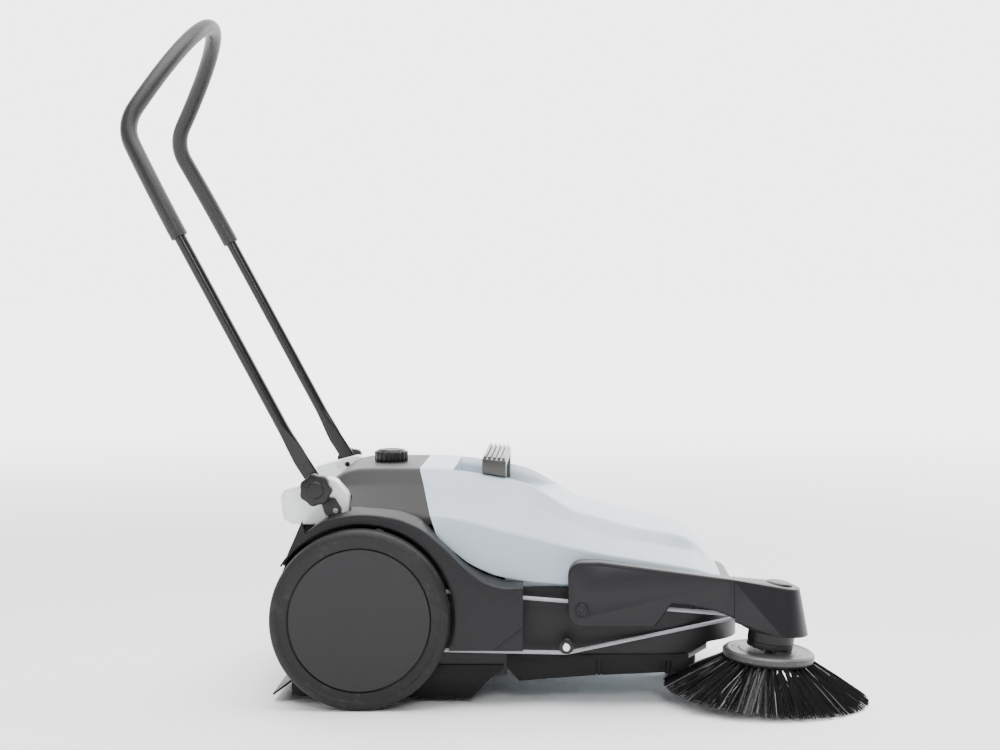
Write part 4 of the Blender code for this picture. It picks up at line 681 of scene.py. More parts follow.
def boltHead(at, radius, height, slotted):
    head = lathe([(0.0, height), (radius - 0.0012, height), (radius, height - 0.0014), (radius, height - 0.0037),
                  (0.0, height - 0.0037)], 0.0007, 4, outward(right, at), 48, False)
    if slotted:
        turn = Matrix.Translation((at[0], 0.0, at[1])) @ Matrix.Rotation(radians(35), 4, "Y")
        for across in (0.0, pi / 2):
            cutter = block((-radius * 0.62, -height - 0.001, -0.0006), (radius * 0.62, -height + 0.0012, 0.0006))
            cutter.data.transform(turn @ Matrix.Rotation(across, 4, "Y"))
            head = carve(head, cutter)
    return head


def shank(at, levels):
    # The plain part of a bolt: pairs of a radius and how far out it reaches, down to the side frame
    profile = [(0.0, levels[0][1])]
    feet = [top for radius, top in levels[1:]] + [frameFace]
    for (radius, top), foot in zip(levels, feet):
        profile += [(radius, top), (radius, foot)]
    return turned(profile + [(0.0, frameFace)], outward(right, at), 32, closed=False)


bolts = {"screwHead": 0.0068, "shank": 0.004, "spacer": 0.008, "pivotHead": 0.01, "pivotFace": 0.304,
         "pivotSpacer": 0.012, "dimple": 0.0058, "dimpleFoot": 0.0048}
screw = fuse(boltHead(idler, bolts["screwHead"], high + 0.004, True),
             shank(idler, [(bolts["shank"], high + 0.0006), (bolts["spacer"], low - gap)]))
dress("idler_screw", screw, screwSteel)
face = bolts["pivotFace"]
dimple = rodBetween((armPivot[0], -face - 0.0015, armPivot[1]), (armPivot[0], -face + 0.001, armPivot[1]),
                    bolts["dimple"], bolts["dimpleFoot"])
bolt = carve(boltHead(armPivot, bolts["pivotHead"], face, False), dimple)
bolt = fuse(bolt, shank(armPivot, [(bolts["shank"], face - 0.0032), (bolts["pivotSpacer"], 0.258)]))
fit("pivot_bolt_form", bolt, darkPlastic, "arm_pivot_bolt")
print("pulleys and bolts ready")


# Fenders, front body and rear housing

# How high each line of the shells runs at x, in millimetres
outlines = {
    "crest": (
        (-101, 309), (-80, 345), (-61, 368), (-36, 381), (-10, 385),
        (40, 385.5), (107, 385), (163, 381.5), (194, 377), (237, 369.5),
        (264, 363), (301, 346), (320, 334), (338, 323), (357, 312),
        (400, 300), (450, 286), (487, 278), (540, 268), (565, 256),
        (590, 225), (609, 203)),
    "crease": (
        (-101, 307), (-80, 330), (-61, 349), (-36, 358), (40, 362),
        (111, 361), (195, 349), (237, 341), (265, 334), (302, 317),
        (338, 300), (357, 292), (382, 282.5), (413, 273), (455, 265),
        (496, 257), (540, 247), (565, 241), (590, 219), (609, 201)),
    "belly": (
        (-101, 305), (-80, 316), (-61, 322), (-21, 328.5), (14, 326.8),
        (106, 317), (168, 307.5), (202, 299), (240, 288), (277, 280),
        (315, 270), (356, 261), (399, 252), (450, 243), (500, 233),
        (540, 224), (565, 217), (590, 208), (609, 199)),
    "rim": (
        (88, 300), (109.6, 292), (124.6, 280), (141.6, 265), (159.5, 250),
        (177, 236.5), (199, 225), (224, 215), (249, 209.6), (285, 205),
        (346, 199.5), (430, 194.3), (609, 194.3)),
    "fender": (
        (-92.6, 291), (-55, 312.6), (6, 321), (51, 316), (99, 298),
        (135, 269), (180, 226), (212, 206), (245, 199), (270, 200)),
    "fenderRise": (
        (-130, 0), (-92.6, 0), (-55, 6), (-20, 11.2), (15, 8.4),
        (99, 12), (135, 3), (180, 6), (212, 10), (270, 6)),
    "bin": ((238, 88), (515, 88), (560, 110), (600, 178)),
}
crest, crease, belly, rimLine, fenderLine, fenderRise, binBase = (smoothCurve(t) for t in outlines.values())

fender = {"in": 0.2523, "skin": 0.286, "out": 0.29, "front": 0.27, "foot": 0.095, "arch": 0.156,
          "rear": (-0.1285, 0.2395), "step": (-0.097, 0.312), "shelf": (-0.0926, 0.291)}


def fenderTop(x):
    (rearX, rearTop), (stepX, stepTop), (shelfX, shelfTop) = (fender[key] for key in ("rear", "step", "shelf"))
    if x < stepX:
        return rearTop + (stepTop - rearTop) * (x - rearX) / (stepX - rearX)
    if x < shelfX:
        return stepTop - (stepTop - shelfTop) * (x - stepX) / (shelfX - stepX)
    return fenderLine(x)


def fenderRing(side, at, near, far, drop, foot, count):
    top = fenderTop(at)
    slope = fenderRise(at) / (fender["out"] - fender["in"])
    high = [top + slope * (fender["out"] - y) - drop for y in (far, near)]
    corners = [(far, foot), (far, high[0]), (near, high[1]), (near, foot)]
    return [(x, side * y, z) for x, y, z in roundedRing(at, corners, [0.0006, 0.0032, 0.0012, 0.0006], count)]


for side in (right, left):
    name = sideName(side)
    stations = [-0.1285, -0.115, -0.105, -0.099, -0.097, -0.0926] + spread(-0.088, fender["front"], 60)
    shell = loft([fenderRing(side, x, fender["in"], fender["out"], 0.0, fender["foot"], 5) for x in stations])
    inner = loft([fenderRing(side, x, fender["in"] - 0.01, fender["skin"], 0.004, 0.085, 3)
                  for x in [-0.1385] + stations[1:-1] + [fender["front"] + 0.01]])
    shell = carve(shell, inner, crossRod(axle, *span(side, 0.23, 0.3), fender["arch"], 128))
    for x, far in ((-0.018, 0.269), (-0.088, 0.2852)):
        shell = carve(shell, block((-0.15, side * 0.24, 0.2), (x, side * far, 0.36)))
    fit("fender_form_" + name, shell, darkPlastic, "fender_" + name, smooth=35)

    # The raised bead that follows the shelf, the lip round the wheel arch and the fold in the lower corner
    face = side * (fender["out"] + 0.0002)
    beadLine = [(x, face, fenderTop(x) - 0.0085) for x in spread(-0.07, 0.262, 70)]
    lipLine = [around(axle, fender["arch"] + 0.0022, angle, face)
               for angle in spread(radians(-16), radians(147), 64)]
    beadShape = (0.0013, 0.001), (0.0, 0.0014), (-0.0013, 0.001), (-0.0016, -0.0008), (0.0016, -0.0008)
    lipShape = (0.0016, 0.0008), (0.0006, 0.0014), (-0.0014, 0.0013), (-0.0018, -0.0008), (0.0018, -0.0008)
    for trim, line, shape in (("bead_", beadLine, beadShape), ("lip_", lipLine, lipShape)):
        fit("fender_" + trim + name, loft(sweep(line, [(a, side * b) for a, b in shape])), darkPlastic,
            body="chassis", smooth=50)
    fold = plate([(0.2215, 0.0955), (0.2695, 0.0955), (0.2695, 0.1345)], side * (fender["out"] - 0.0006),
                 side * (fender["out"] + 0.0012))
    fit("fender_fold_" + name, soften(fold, 0.0008), darkPlastic, body="chassis", smooth=50)
    place = Matrix.Translation((-0.1352, side * 0.2405, 0.2206)) @ Matrix.Rotation(radians(-98), 4, "Y")
    dome = [(0.0, -0.001), (0.0046, -0.001), (0.0046, 0.0008), (0.0036, 0.0024), (0.0, 0.0028)]
    fit("panel_screw_" + name, lathe(dome, 0.0007, 3, place, 32, False), screwSteel, body="chassis")


bodyShape = {"rear": 0.226, "half": 0.238, "top": 0.194, "foot": 0.076, "front": 0.637, "frontTop": 0.185,
             "frontFoot": 0.097, "cornerX": 0.494, "cornerY": 0.127, "skin": 0.004, "lip": 0.0048,
             "frontLip": 0.0225}


def bodyStation(t, mirror):
    # A place on the tub's edge, from its rear end at 0 round the corner to the middle of the front at 2
    rear, half, front, cornerX, cornerY = (bodyShape[key] for key in ("rear", "half", "front", "cornerX", "cornerY"))
    flat, depth = half - cornerY, front - cornerX
    if t < 0.5:
        x, y, inward, share = rear + (cornerX - rear) * t * 2, half, Vector((0.0, -1.0)), 0.0
    elif t <= 1.0:
        angle = (t - 0.5) * pi
        x, y, share = cornerX + depth * sin(angle), flat + cornerY * cos(angle), sin(angle) ** 2
        inward = -Vector((sin(angle) / depth, cos(angle) / cornerY)).normalized()
    else:
        x, y, inward, share = front, flat * (2.0 - t), Vector((-1.0, 0.0)), 1.0
    top = bodyShape["top"] + (bodyShape["frontTop"] - bodyShape["top"]) * eased((x - 0.521) / 0.025)
    foot = bodyShape["foot"] + (bodyShape["frontFoot"] - bodyShape["foot"]) * min(max((x - 0.54) / 0.045, 0.0), 1.0)
    lip = bodyShape["lip"] + (bodyShape["frontLip"] - bodyShape["lip"]) * share
    return (x, mirror * y), (inward.x, mirror * inward.y), top, foot, lip


ts = [0.0, 0.2, 0.4] + spread(0.45, 1.0, 34) + [1.2, 1.5, 1.8]
rings = []
for t, mirror in [(t, right) for t in ts] + [(2.0, left)] + [(t, left) for t in reversed(ts)]:
    at, inward, top, foot, lip = bodyStation(t, mirror)
    curl, skin = max(lip - 0.0045, 0.0016), bodyShape["skin"]
    shape = filleted([(0.0, foot), (0.0, top), (lip, top), (lip, top - 0.0038),
                      (skin, top - max(curl, 0.004) - 0.0015), (skin, foot)],
                     [0.0008, curl, 0.0007, 0.0006, 0.0006, 0.0008], 6)
    rings.append([(at[0] + inward[0] * d, at[1] + inward[1] * d, z) for d, z in shape])
dress("front_body", loft(rings), darkPlastic)


hopper = {"half": 0.252, "crest": 0.143, "crease": 0.17, "skin": 0.004, "binHalf": 0.231, "binRear": 0.238,
          "recessHalf": 0.125, "recessFloor": 0.332, "recessRear": 0.146, "seamTop": (0.088, 0.383),
          "seamFoot": (0.1246, 0.28), "hood": 0.147, "hoodHalf": 0.2385, "nose": 0.4, "noseLength": 0.2115,
          "noseRound": 0.13}


def shellRing(x, scale, drop, foot, bellyHalf, crestHalf=hopper["crest"], limit=1.0, count=7):
    top = crest(x) - drop
    middle = min(crease(x), crest(x) - 0.001) - drop
    low = min(belly(x) - drop, middle - 0.001)
    top, middle, low = min(top, limit), min(middle, limit - 0.0005), min(low, limit - 0.001)
    foot = min(foot, low - 0.002)
    creaseHalf = hopper["crease"] - (hopper["crest"] - crestHalf)
    half = [(crestHalf * scale, top), (creaseHalf * scale, middle), ((bellyHalf - 0.006) * scale, low),
            (bellyHalf * scale, min(foot + 0.01, low - 0.001)), (bellyHalf * scale, foot)]
    return mirroredRing(x, half, [0.011, 0.006, 0.0045, 0.004, 0.0008], count)


def planScale(x):
    # How much narrower the hopper is at x, seen from above
    if x <= hopper["nose"]:
        return 1.0
    share = min((x - hopper["nose"]) / hopper["noseLength"], 0.9995)
    return (hopper["half"] - hopper["noseRound"] * (1 - sqrt(1 - share * share))) / hopper["half"]


def seamCutter(keepFront, distance):
    # Takes away what lies behind the seam, or before it
    top, foot = Vector(hopper["seamTop"]), Vector(hopper["seamFoot"])
    along = (foot - top).normalized()
    across = Vector((-along.y, along.x)) * (-1 if keepFront else 1)
    start, end = top - along * 0.3, top + along * 0.5
    corners = [start - across * distance, end - across * distance, end + across * 0.6, start + across * 0.6]
    return plate([(c.x, c.y) for c in corners], -0.4, 0.4)


housing = {"foot": 0.3003, "innerCrest": 0.141, "notchX": -0.0227, "notchY": 0.2042, "holeX": 0.026, "hole": 0.0063}
foot, skin, notchX, notchY = housing["foot"], hopper["skin"], housing["notchX"], housing["notchY"]
xs = [-0.101, -0.094, -0.087] + spread(-0.08, 0.15, 48)
outer = loft([shellRing(x, 1.0, 0.0, foot, hopper["half"]) for x in xs])
inner = loft([shellRing(x, 1.0, skin, foot - 0.007, hopper["hoodHalf"], housing["innerCrest"])
              for x in [-0.097] + xs[3:-1] + [0.148]])
for side in (right, left):
    outer = carve(outer, block((-0.15, side * notchY, 0.28), (notchX, side * 0.3, 0.42)))
    inner = carve(inner, block((-0.16, side * (notchY - skin), 0.27), (notchX + skin, side * 0.31, 0.43)))
hole = rodBetween((housing["holeX"], 0.0, 0.3), (housing["holeX"], 0.0, 0.42), housing["hole"])
outer = carve(outer, hole, seamCutter(False, gap), inner)
dress("rear_housing", outer, housingPlastic, smooth=24)
print("chassis shells ready")


# Hopper with its recess, bin and grip

xs = spread(0.06, 0.56, 84) + [0.568, 0.576, 0.583, 0.589, 0.594, 0.599, 0.603, 0.606, 0.609]
shell = loft([shellRing(x, planScale(x), 0.0, rimLine(x), hopper["half"]) for x in xs])


def hoodRod(half, radius):
    return crossRod(broom, -half, half, radius, 96)


def binRing(x, half, base, top, cut):
    return roundedRing(x, [(-half, base), (half, base), (half, top), (-half, top)], [cut, cut, 0.0006, 0.0006], 4)


shell = carve(shell, seamCutter(True, gap), hoodRod(hopper["hoodHalf"], hopper["hood"]))
binRings, hollowRings = [], []
for x in [hopper["binRear"]] + spread(0.3, 0.59, 20) + [0.6]:
    half = min(hopper["binHalf"], hopper["half"] * planScale(x) - 0.021)
    base, top = binBase(x), rimLine(x) + 0.006
    binRings.append(binRing(x, half, base, top, 0.008))
    at = {hopper["binRear"]: hopper["binRear"] - 0.01, 0.6: 0.594}.get(x, x)
    hollowRings.append(binRing(at, half - hopper["skin"], base + hopper["skin"], top + 0.006, 0.006))
shell = fuse(shell, carve(loft(binRings), hoodRod(hopper["hoodHalf"], hopper["hood"])))
upper = loft([
    shellRing(x, planScale(x) * 0.985, hopper["skin"], rimLine(x) + hopper["skin"], hopper["half"] - 0.004, 0.14,
              hopper["recessFloor"] - hopper["skin"], 4)
    for x in [0.118] + spread(0.13, 0.592, 48) + [0.602]])
upper = carve(upper, hoodRod(0.26, hopper["hood"] + 0.004), seamCutter(True, 0.0043))
shell = carve(shell, upper, loft(hollowRings))
recess = []
for x in spread(hopper["recessRear"], 0.35, 24):
    top = max(crest(x), hopper["recessFloor"])
    edge = max(top - 0.009, hopper["recessFloor"] + 0.0005)
    wide = hopper["crest"] + 0.004
    half = [(hopper["recessHalf"] - 0.003, hopper["recessFloor"]), (hopper["recessHalf"], edge),
            (wide, top + 0.0025), (wide, top + 0.04)]
    recess.append(mirroredRing(x, half, [0.004, 0.007, 0.003, 0.001], 5))
shell = carve(shell, loft(recess))
fit("hopper_form", shell, paleBlue, "hopper_shell", smooth=24)

grip = {"rear": 0.196, "front": 0.237, "top": 0.407, "frontTop": 0.403, "half": 0.1455, "ribs": 5, "cap": 0.005}
rear, front, half = grip["rear"], grip["front"], grip["half"]
bar = plate([(rear, crest(rear) + 0.0006), (front, crest(front) + 0.0006), (front, grip["frontTop"] - grip["cap"]),
             (rear, grip["top"] - grip["cap"])], -half, half)
finger = [(rear - 0.01, 0.33), (front + 0.01, 0.33), (front + 0.01, 0.3855), (rear - 0.01, 0.3885)]
inside = hopper["recessHalf"] - 0.013
bar = carve(bar, plate(finger, -inside, inside))
for side in (right, left):
    web = [(rear, 0.35), (front, 0.345), (front, 0.38), (rear, 0.384)]
    bar = fuse(bar, plate(web, side * inside, side * (hopper["recessHalf"] - 0.0005)))
fit("grip_form", soften(bar, 0.0014), ribPlastic, "hopper_grip")
pitch = (front - rear) / grip["ribs"]
for i in range(grip["ribs"]):
    x = rear + pitch * (i + 0.5)
    top = grip["top"] - (x - rear) * 0.1
    x0, x1 = x - pitch * 0.3, x + pitch * 0.3
    rib = plate([(x0, top - 0.0062), (x1, top - 0.0066), (x1, top - 0.0003), (x0, top + 0.0001)],
                -half + 0.0006, half - 0.0006)
    fit("grip_rib_" + str(i + 1), soften(rib, 0.0012), ribPlastic, body="hopper")
print("hopper ready")


# Push handle with its sleeve, feet, knobs and brackets

handle = {"tube": 0.01, "y": 0.258, "grip": 0.01465, "crease": (-0.103, 0.408), "shoulder": (-0.408, 0.972),
          "top": (-0.3, 1.166), "fillet": 0.07, "bow": 0.43, "flatWide": 0.0125, "flatThick": 0.004,
          "flatY": 0.2513, "flatFoot": (-0.067, 0.353), "flatBlend": 0.062, "square": 7.0, "bore": 0.0053,
          "star": 0.0275, "wave": 0.0013, "lobes": 7, "foot": (0.2556, 0.262), "ear": (0.205, 0.247)}
pivot = (-0.076, 0.361)
creaseAt, shoulderAt, archTop = (Vector(handle[key]) for key in ("crease", "shoulder", "top"))
legWay, archWay = (shoulderAt - creaseAt).normalized(), (archTop - shoulderAt).normalized()
bendReach = handle["fillet"] * tan(legWay.angle(archWay) / 2)
bendEnter, bendLeave = shoulderAt - legWay * bendReach, shoulderAt + archWay * bendReach
upperLength = (archTop - bendLeave).length
bendLength = handle["fillet"] * legWay.angle(archWay)
lineLength = upperLength + bendLength + (bendEnter - creaseAt).length


def handlePoint(distance):
    # The distance runs down from the middle of the arch; the legs bow inward from the sleeve's start
    if distance < upperLength:
        at = archTop - archWay * distance
    elif distance < upperLength + bendLength:
        t = 1 - (distance - upperLength) / bendLength
        at = bendEnter * (1 - t) ** 2 + shoulderAt * 2 * t * (1 - t) + bendLeave * t * t
    else:
        at = bendEnter - legWay * (distance - upperLength - bendLength)
    rest = max(1 - distance / handle["bow"], 0.0)
    return Vector((at.x, handle["y"] * sqrt(1 - rest * rest), at.y))


bow = [handlePoint(handle["bow"] * (1 - cos(angle))) for angle in spread(pi / 2, radians(1.2), 72)]
legTop = [handlePoint(distance) for distance in spread(lineLength, handle["bow"], 28)[:-1]] + bow


def flatSection(wide, thick, power):
    points = []
    for c, s in circle(1.0, 40):
        points.append((wide * copysign(abs(c) ** (2 / power), c),
                       thick * copysign(abs(s) ** (2 / power), s)))
    return points


flatWide, flatThick, flatY, tubeRadius = (handle[key] for key in ("flatWide", "flatThick", "flatY", "tube"))
footWay = (Vector(handle["flatFoot"]) - creaseAt).normalized()
footEnd = (Vector(handle["flatFoot"]) - creaseAt).length + flatWide
path, sections = [], []
for s in reversed(spread(0.0, 1.0, 26)[1:]):
    distance = footEnd * (1 - (1 - s) ** 1.8)
    at = creaseAt + footWay * distance
    inset = max(flatWide - (footEnd - distance), 0.0)
    wide = max(sqrt(max(flatWide ** 2 - inset ** 2, 0.0)), 0.0012)
    path.append((at.x, flatY, at.y))
    sections.append(flatSection(wide, flatThick, handle["square"]))
for point in legTop:
    ease = eased((Vector((point.x, point.z)) - creaseAt).length / handle["flatBlend"])
    wide = flatWide + (tubeRadius - flatWide) * ease
    thick = flatThick + (tubeRadius - flatThick) * ease
    path.append((point.x, flatY + (point.y - flatY) * ease, point.z))
    sections.append(flatSection(wide, thick, handle["square"] + (2.0 - handle["square"]) * ease))
path += [(x, -y, z) for x, y, z in reversed(path)]
sections += sections[::-1]
tube = loft(sweep(path, lambda i: sections[i]))
for side in (right, left):
    tube = carve(tube, crossRod(pivot, *span(side, 0.24, 0.262), handle["bore"], 32))
dress("handle_tube", tube, tubePaint, smooth=40)

half = [bow[0], bow[0].lerp(bow[1], 0.1), bow[0].lerp(bow[1], 0.5)] + bow[1:]
gripLine = half + [Vector((point.x, -point.y, point.z)) for point in reversed(half)]


def gripRadius(i):
    return handle["grip"] - (0.0016 if i in (0, len(gripLine) - 1) else 0.0)


sleeve = sweep(gripLine, lambda i: circle(gripRadius(i), 32)) + sweep(gripLine, circle(tubeRadius + gap, 32))[::-1]
fit("grip_sleeve_form", loft(sleeve, looped=True), gripFoam, "handle_grip", smooth=50)


def lobed(radius, wave, lobes, steps, deepest=-1.0):
    # The rim of a knob with soft lobes, as pairs of an angle and the radius there
    angles = [2 * pi * k / steps for k in range(steps)]
    return [(angle, radius - wave + wave * max(cos(lobes * angle), deepest)) for angle in angles]


for side in (right, left):
    name = sideName(side)
    y0, y1 = span(side, *handle["foot"])
    foot = plate(filleted([(-0.071, 0.346), (-0.062, 0.318), (-0.052, 0.314), (-0.036, 0.316), (-0.034, 0.328),
                           (-0.046, 0.347)], 0.003, 4), y0, y1)
    hook = crossRod((-0.045, 0.325), y0 - 0.01, y1 + 0.01, 0.0045)
    fit("foot_form_" + name, soften(carve(foot, hook), 0.001), blackPlastic, "leg_foot_" + name)

    rim = lobed(handle["star"], handle["wave"], handle["lobes"], handle["lobes"] * 20)
    star = [[around(pivot, radius - inset, angle, side * y) for angle, radius in rim]
            for y, inset in ((0.2632, 0.0022), (0.2638, 0.0008), (0.265, 0.0), (0.279, 0.0), (0.2812, 0.0006),
                             (0.2824, 0.0016), (0.283, 0.003))]
    cap = lathe([(0.0, 0.2856), (0.0125, 0.2856), (0.0142, 0.284), (0.0142, 0.281), (0.0, 0.281)], 0.0009, 4,
                outward(side, pivot), 48, False)
    stem = turned([(0.0, 0.264), (0.01, 0.264), (0.01, 0.2558), (0.005, 0.2558), (0.005, 0.215), (0.0, 0.215)],
                  outward(side, pivot), 32, closed=False)
    fit("star_form_" + name, fuse(loft(star), cap, stem), blackPlastic, "clamp_knob_" + name)

    outline = arc((-0.122, 0.345), 0.016, 185, 120, 12) + arc((-0.058, 0.3555), 0.0215, 100, 50, 12)
    outline += arc((-0.0472, 0.342), 0.022, 45, 0, 12) + [(-0.0252, 0.3003), (-0.118, 0.3003), (-0.134, 0.309)]
    y0, y1 = span(side, *handle["ear"])
    ear = soften(plate(outline, y0, y1), 0.0022, 4, 40)
    fit("bracket_form_" + name, carve(ear, crossRod(pivot, y0 - 0.01, y1 + 0.01, handle["bore"], 32)), seeThrough,
        "handle_bracket_" + name, smooth=40)

knob = {"radius": 0.03, "base": 0.3861, "height": 0.021, "ribs": 20, "ribDepth": 0.0011}
seat = Matrix.Translation((housing["holeX"], 0.0, knob["base"]))
rim = lobed(knob["radius"], knob["ribDepth"], knob["ribs"], knob["ribs"] * 10, -0.45)
rings = [[seat @ Vector(((radius - inset) * cos(angle), (radius - inset) * sin(angle), z))
          for angle, radius in rim]
         for z, inset in ((0.0, 0.0012), (0.0006, 0.0003), (0.0014, 0.0), (0.016, 0.0), (0.0172, 0.0006),
                          (0.018, 0.0018))]
cap = lathe([(0.0, 0.0195), (0.0165, 0.0195), (0.0185, knob["height"]), (0.0238, knob["height"]), (0.0262, 0.017),
             (0.0, 0.017)], 0.001, 4, seat, 72, False)
dress("height_knob", carve(fuse(loft(rings), cap), axisRod(seat, -0.01, 0.014, housing["hole"])), blackPlastic)
print("handle and knobs ready")


# Side arm with its cone-shaped head

head = {"foot": Vector((0.683, -0.237, 0.083)), "lean": radians(8.4), "spinLean": radians(4.4),
        "outward": radians(3.0), "low": 0.0605, "top": 0.035, "coneFoot": 0.041, "coneHeight": 0.1174,
        "cap": 0.0227, "spindle": 0.0075, "spindleTop": 0.098, "neck": 0.0395, "neckFoot": 0.0105,
        "armEnd": 0.622, "in": -0.258, "out": -0.3}
armIn, armOut, armEnd, coneFoot, coneTop = (head[key] for key in ("in", "out", "armEnd", "coneFoot", "coneHeight"))


def leanFrame(forward):
    axis = Vector((sin(forward), -sin(head["outward"]), 1.0)).normalized()
    return Matrix.Translation(head["foot"]) @ upright(1.0).rotation_difference(axis).to_matrix().to_4x4()


headFrame = leanFrame(head["lean"])
spinFrame = leanFrame(head["spinLean"])


def headRing(height, radius, steps=128):
    return [headFrame @ Vector((a, b, height)) for a, b in circle(radius, steps)]


def hullOf(points):
    bm = bmesh.new()
    for point in points:
        bm.verts.new(point)
    made = bmesh.ops.convex_hull(bm, input=bm.verts)
    inside = {part for part in made["geom_interior"] if isinstance(part, bmesh.types.BMVert)}
    bmesh.ops.delete(bm, geom=list(inside), context="VERTS")
    bmesh.ops.recalc_face_normals(bm, faces=bm.faces)
    return fromMesh(bm)


def armSection(x, outer, inner, low, high, radius):
    # The arm's cross-section at x with its two outer corners rounded
    ring = [(inner, low), (inner, high)]
    for corner, way, angles in ((high, -1, spread(pi / 2, 0.0, 7)), (low, 1, spread(0.0, pi / 2, 7))):
        ring += [(outer + radius * (1 - cos(a)), corner + way * radius * (1 - sin(a))) for a in angles]
    return [(x, y, z) for y, z in ring]


def armRear(inset, highSteps, lowSteps):
    # The arm's round rear end, drawn in by the inset
    return (arc((0.369, 0.22), 0.024 - inset, 90, 180, highSteps)
            + arc((0.367, 0.1586), 0.022 - inset, 180, 270, lowSteps))


lower = [(0.489, 0.1366), (0.51, 0.165), (0.5165, 0.175), (0.549, 0.172), (0.595, 0.161), (armEnd, 0.149)]
arm = soften(plate([(armEnd, 0.2144), (0.398, 0.244)] + armRear(0.0, 20, 20) + lower, armOut, armIn), 0.0034, 4, 24)

# The head is one skin drawn over the arm's end and a cone
rings = armSection(armEnd - 0.001, armOut, armIn, 0.144, 0.2144, 0.0034)
rings += headRing(coneFoot, head["low"] - 0.0006) + headRing(coneFoot + 0.001, head["low"])
for angle in spread(0.0, pi / 2, 7):
    rings += headRing(coneTop - 0.0048 * (1 - sin(angle)), head["top"] + 0.0014 - 0.0048 * (1 - cos(angle)))
arm = fuse(arm, hullOf(rings))
inside = [(armEnd + 0.0005, 0.2108), (0.398, 0.2408)] + armRear(0.003, 12, 8)[:-1]
inside += [(0.348, 0.12), (armEnd + 0.0005, 0.12)]
slope = (head["low"] - head["top"]) / (coneTop - coneFoot)
bell = headRing(coneFoot - 0.0064, head["low"] - 0.003 + slope * 0.0064, 96)
bell += headRing(coneTop - 0.005, head["top"] - 0.0035, 96)
bell += armSection(armEnd - 0.002, armOut + 0.0035, armIn + 0.02, 0.12, 0.2108, 0.001)
cover = carve(arm, plate(inside, armOut + 0.0035, armIn + 0.02), hullOf(bell),
              block((0.6, -0.28, 0.12), (0.69, -0.2, 0.17)),
              block((0.335, -0.2805, 0.16), (0.354, -0.248, 0.191)))
cover = carve(
    fuse(cover, crossRod(armPivot, -0.2808, armOut + 0.002, 0.013),
         axisRod(headFrame, coneTop - 0.0114, coneTop - 0.0024, 0.018)),
    axisRod(spinFrame, head["spindleTop"] - 0.018, head["spindleTop"] + 0.0005, head["spindle"] + gap),
    crossRod(armPivot, armIn + 0.01, armOut - 0.01, 0.0043),
    axisRod(headFrame, coneTop, coneTop + 0.012, head["cap"] + gap * 2))
dress("arm_cover", cover, darkPlastic, smooth=42)
panel = [(0.612, 0.2095), (0.398, 0.2375)] + armRear(0.0065, 20, 20)
panel += [(0.484, 0.1428), (0.505, 0.171), (0.516, 0.1818), (0.549, 0.179), (0.6, 0.167), (0.612, 0.1635)]
panel = carve(plate(panel, armOut - 0.0007, armOut + 0.001),
              crossRod(armPivot, armOut - 0.002, armOut + 0.003, 0.0118))
fit("arm_panel_form", soften(panel, 0.0007, 3, 24), darkPlastic, body="side_arm", smooth=28)

foot, rim = coneTop + gap, head["cap"]
cap = [(0.0, foot + 0.005), (rim - 0.006, foot + 0.005), (rim - 0.0015, foot + 0.0038), (rim, foot + 0.0018),
       (rim, foot), (0.0, foot)]
dress("head_cap", lathe(cap, 0.0016, 6, headFrame, 96, False), blackPlastic)
flange, rim = coneFoot + 0.004, head["neck"]
outer = head["low"] - 0.003 - slope * 0.004 - 0.0008
neck = [(outer, flange), (outer, flange - 0.003), (rim, flange - 0.007), (rim, 0.0215), (rim - 0.0005, 0.0208),
        (rim - 0.0005, head["neckFoot"]), (0.0118, head["neckFoot"]), (0.0118, flange)]
dress("spindle_housing", lathe(neck, 0.0008, 4, headFrame, 96), blackPlastic)
print("side arm ready")


# Side broom and main broom

sideBroom = {"disc": 0.0776, "height": 0.012, "reach": 0.1745, "floorGap": 0.0012, "pulley": 0.0658, "pitch": 0.028,
             "tufts": 44, "strands": 22, "thick": 0.00074}
rim, top = head["spindle"], head["spindleTop"]
spindle = [(0.0, top), (rim, top), (rim, 0.0063), (0.016, 0.0063), (0.016, 0.004), (rim, 0.004), (rim, -0.01),
           (0.0, -0.01)]
dress("side_spindle", lathe(spindle, 0.0005, 3, spinFrame, 40, False), zincSteel)
middle, pitch = sideBroom["pulley"], sideBroom["pitch"]
bottom = pitch - pulleys["belt"] - 0.0011
bore = rim + gap
pulley = [(pitch + 0.004, middle + 0.0072), (pitch + 0.004, middle + 0.0054), (bottom, middle + 0.0042),
          (bottom, middle - 0.0064), (pitch + 0.0015, middle - 0.0074), (pitch + 0.0015, middle - 0.0088),
          (bore, middle - 0.0088), (bore, middle + 0.0072)]
dress("side_pulley", lathe(pulley, 0.0005, 3, spinFrame, 72), blackPlastic)
edge, half = sideBroom["disc"], sideBroom["height"] / 2
disc = [(edge - 0.0045, half), (edge, half - 0.0035), (edge, -half), (bore, -half), (bore, half - 0.0023),
        (0.0163, half - 0.0023), (0.0163, half), (0.05, half), (0.052, half - 0.001), (0.066, half - 0.001),
        (0.068, half)]
dress("broom_disc", lathe(disc, 0.0009, 4, spinFrame, 96), discPlastic)


thirds = (0.0, 2.0944, 4.1888)  # a strand has three sides


def strand(bm, points, radius):
    along = (points[-1] - points[0]).normalized()
    across = along.cross(Vector((0.31, 0.87, 0.4))).normalized()
    other = along.cross(across).normalized()
    rings = []
    for i, point in enumerate(points):
        size = radius * (1 - 0.25 * i / (len(points) - 1))
        rings.append([bm.verts.new(point + (across * cos(a) + other * sin(a)) * size) for a in thirds])
    bm.faces.new(rings[0][::-1])
    bm.faces.new(rings[-1])
    for near, far in zip(rings, rings[1:]):
        for k in range(3):
            bm.faces.new((near[k], near[(k + 1) % 3], far[(k + 1) % 3], far[k]))


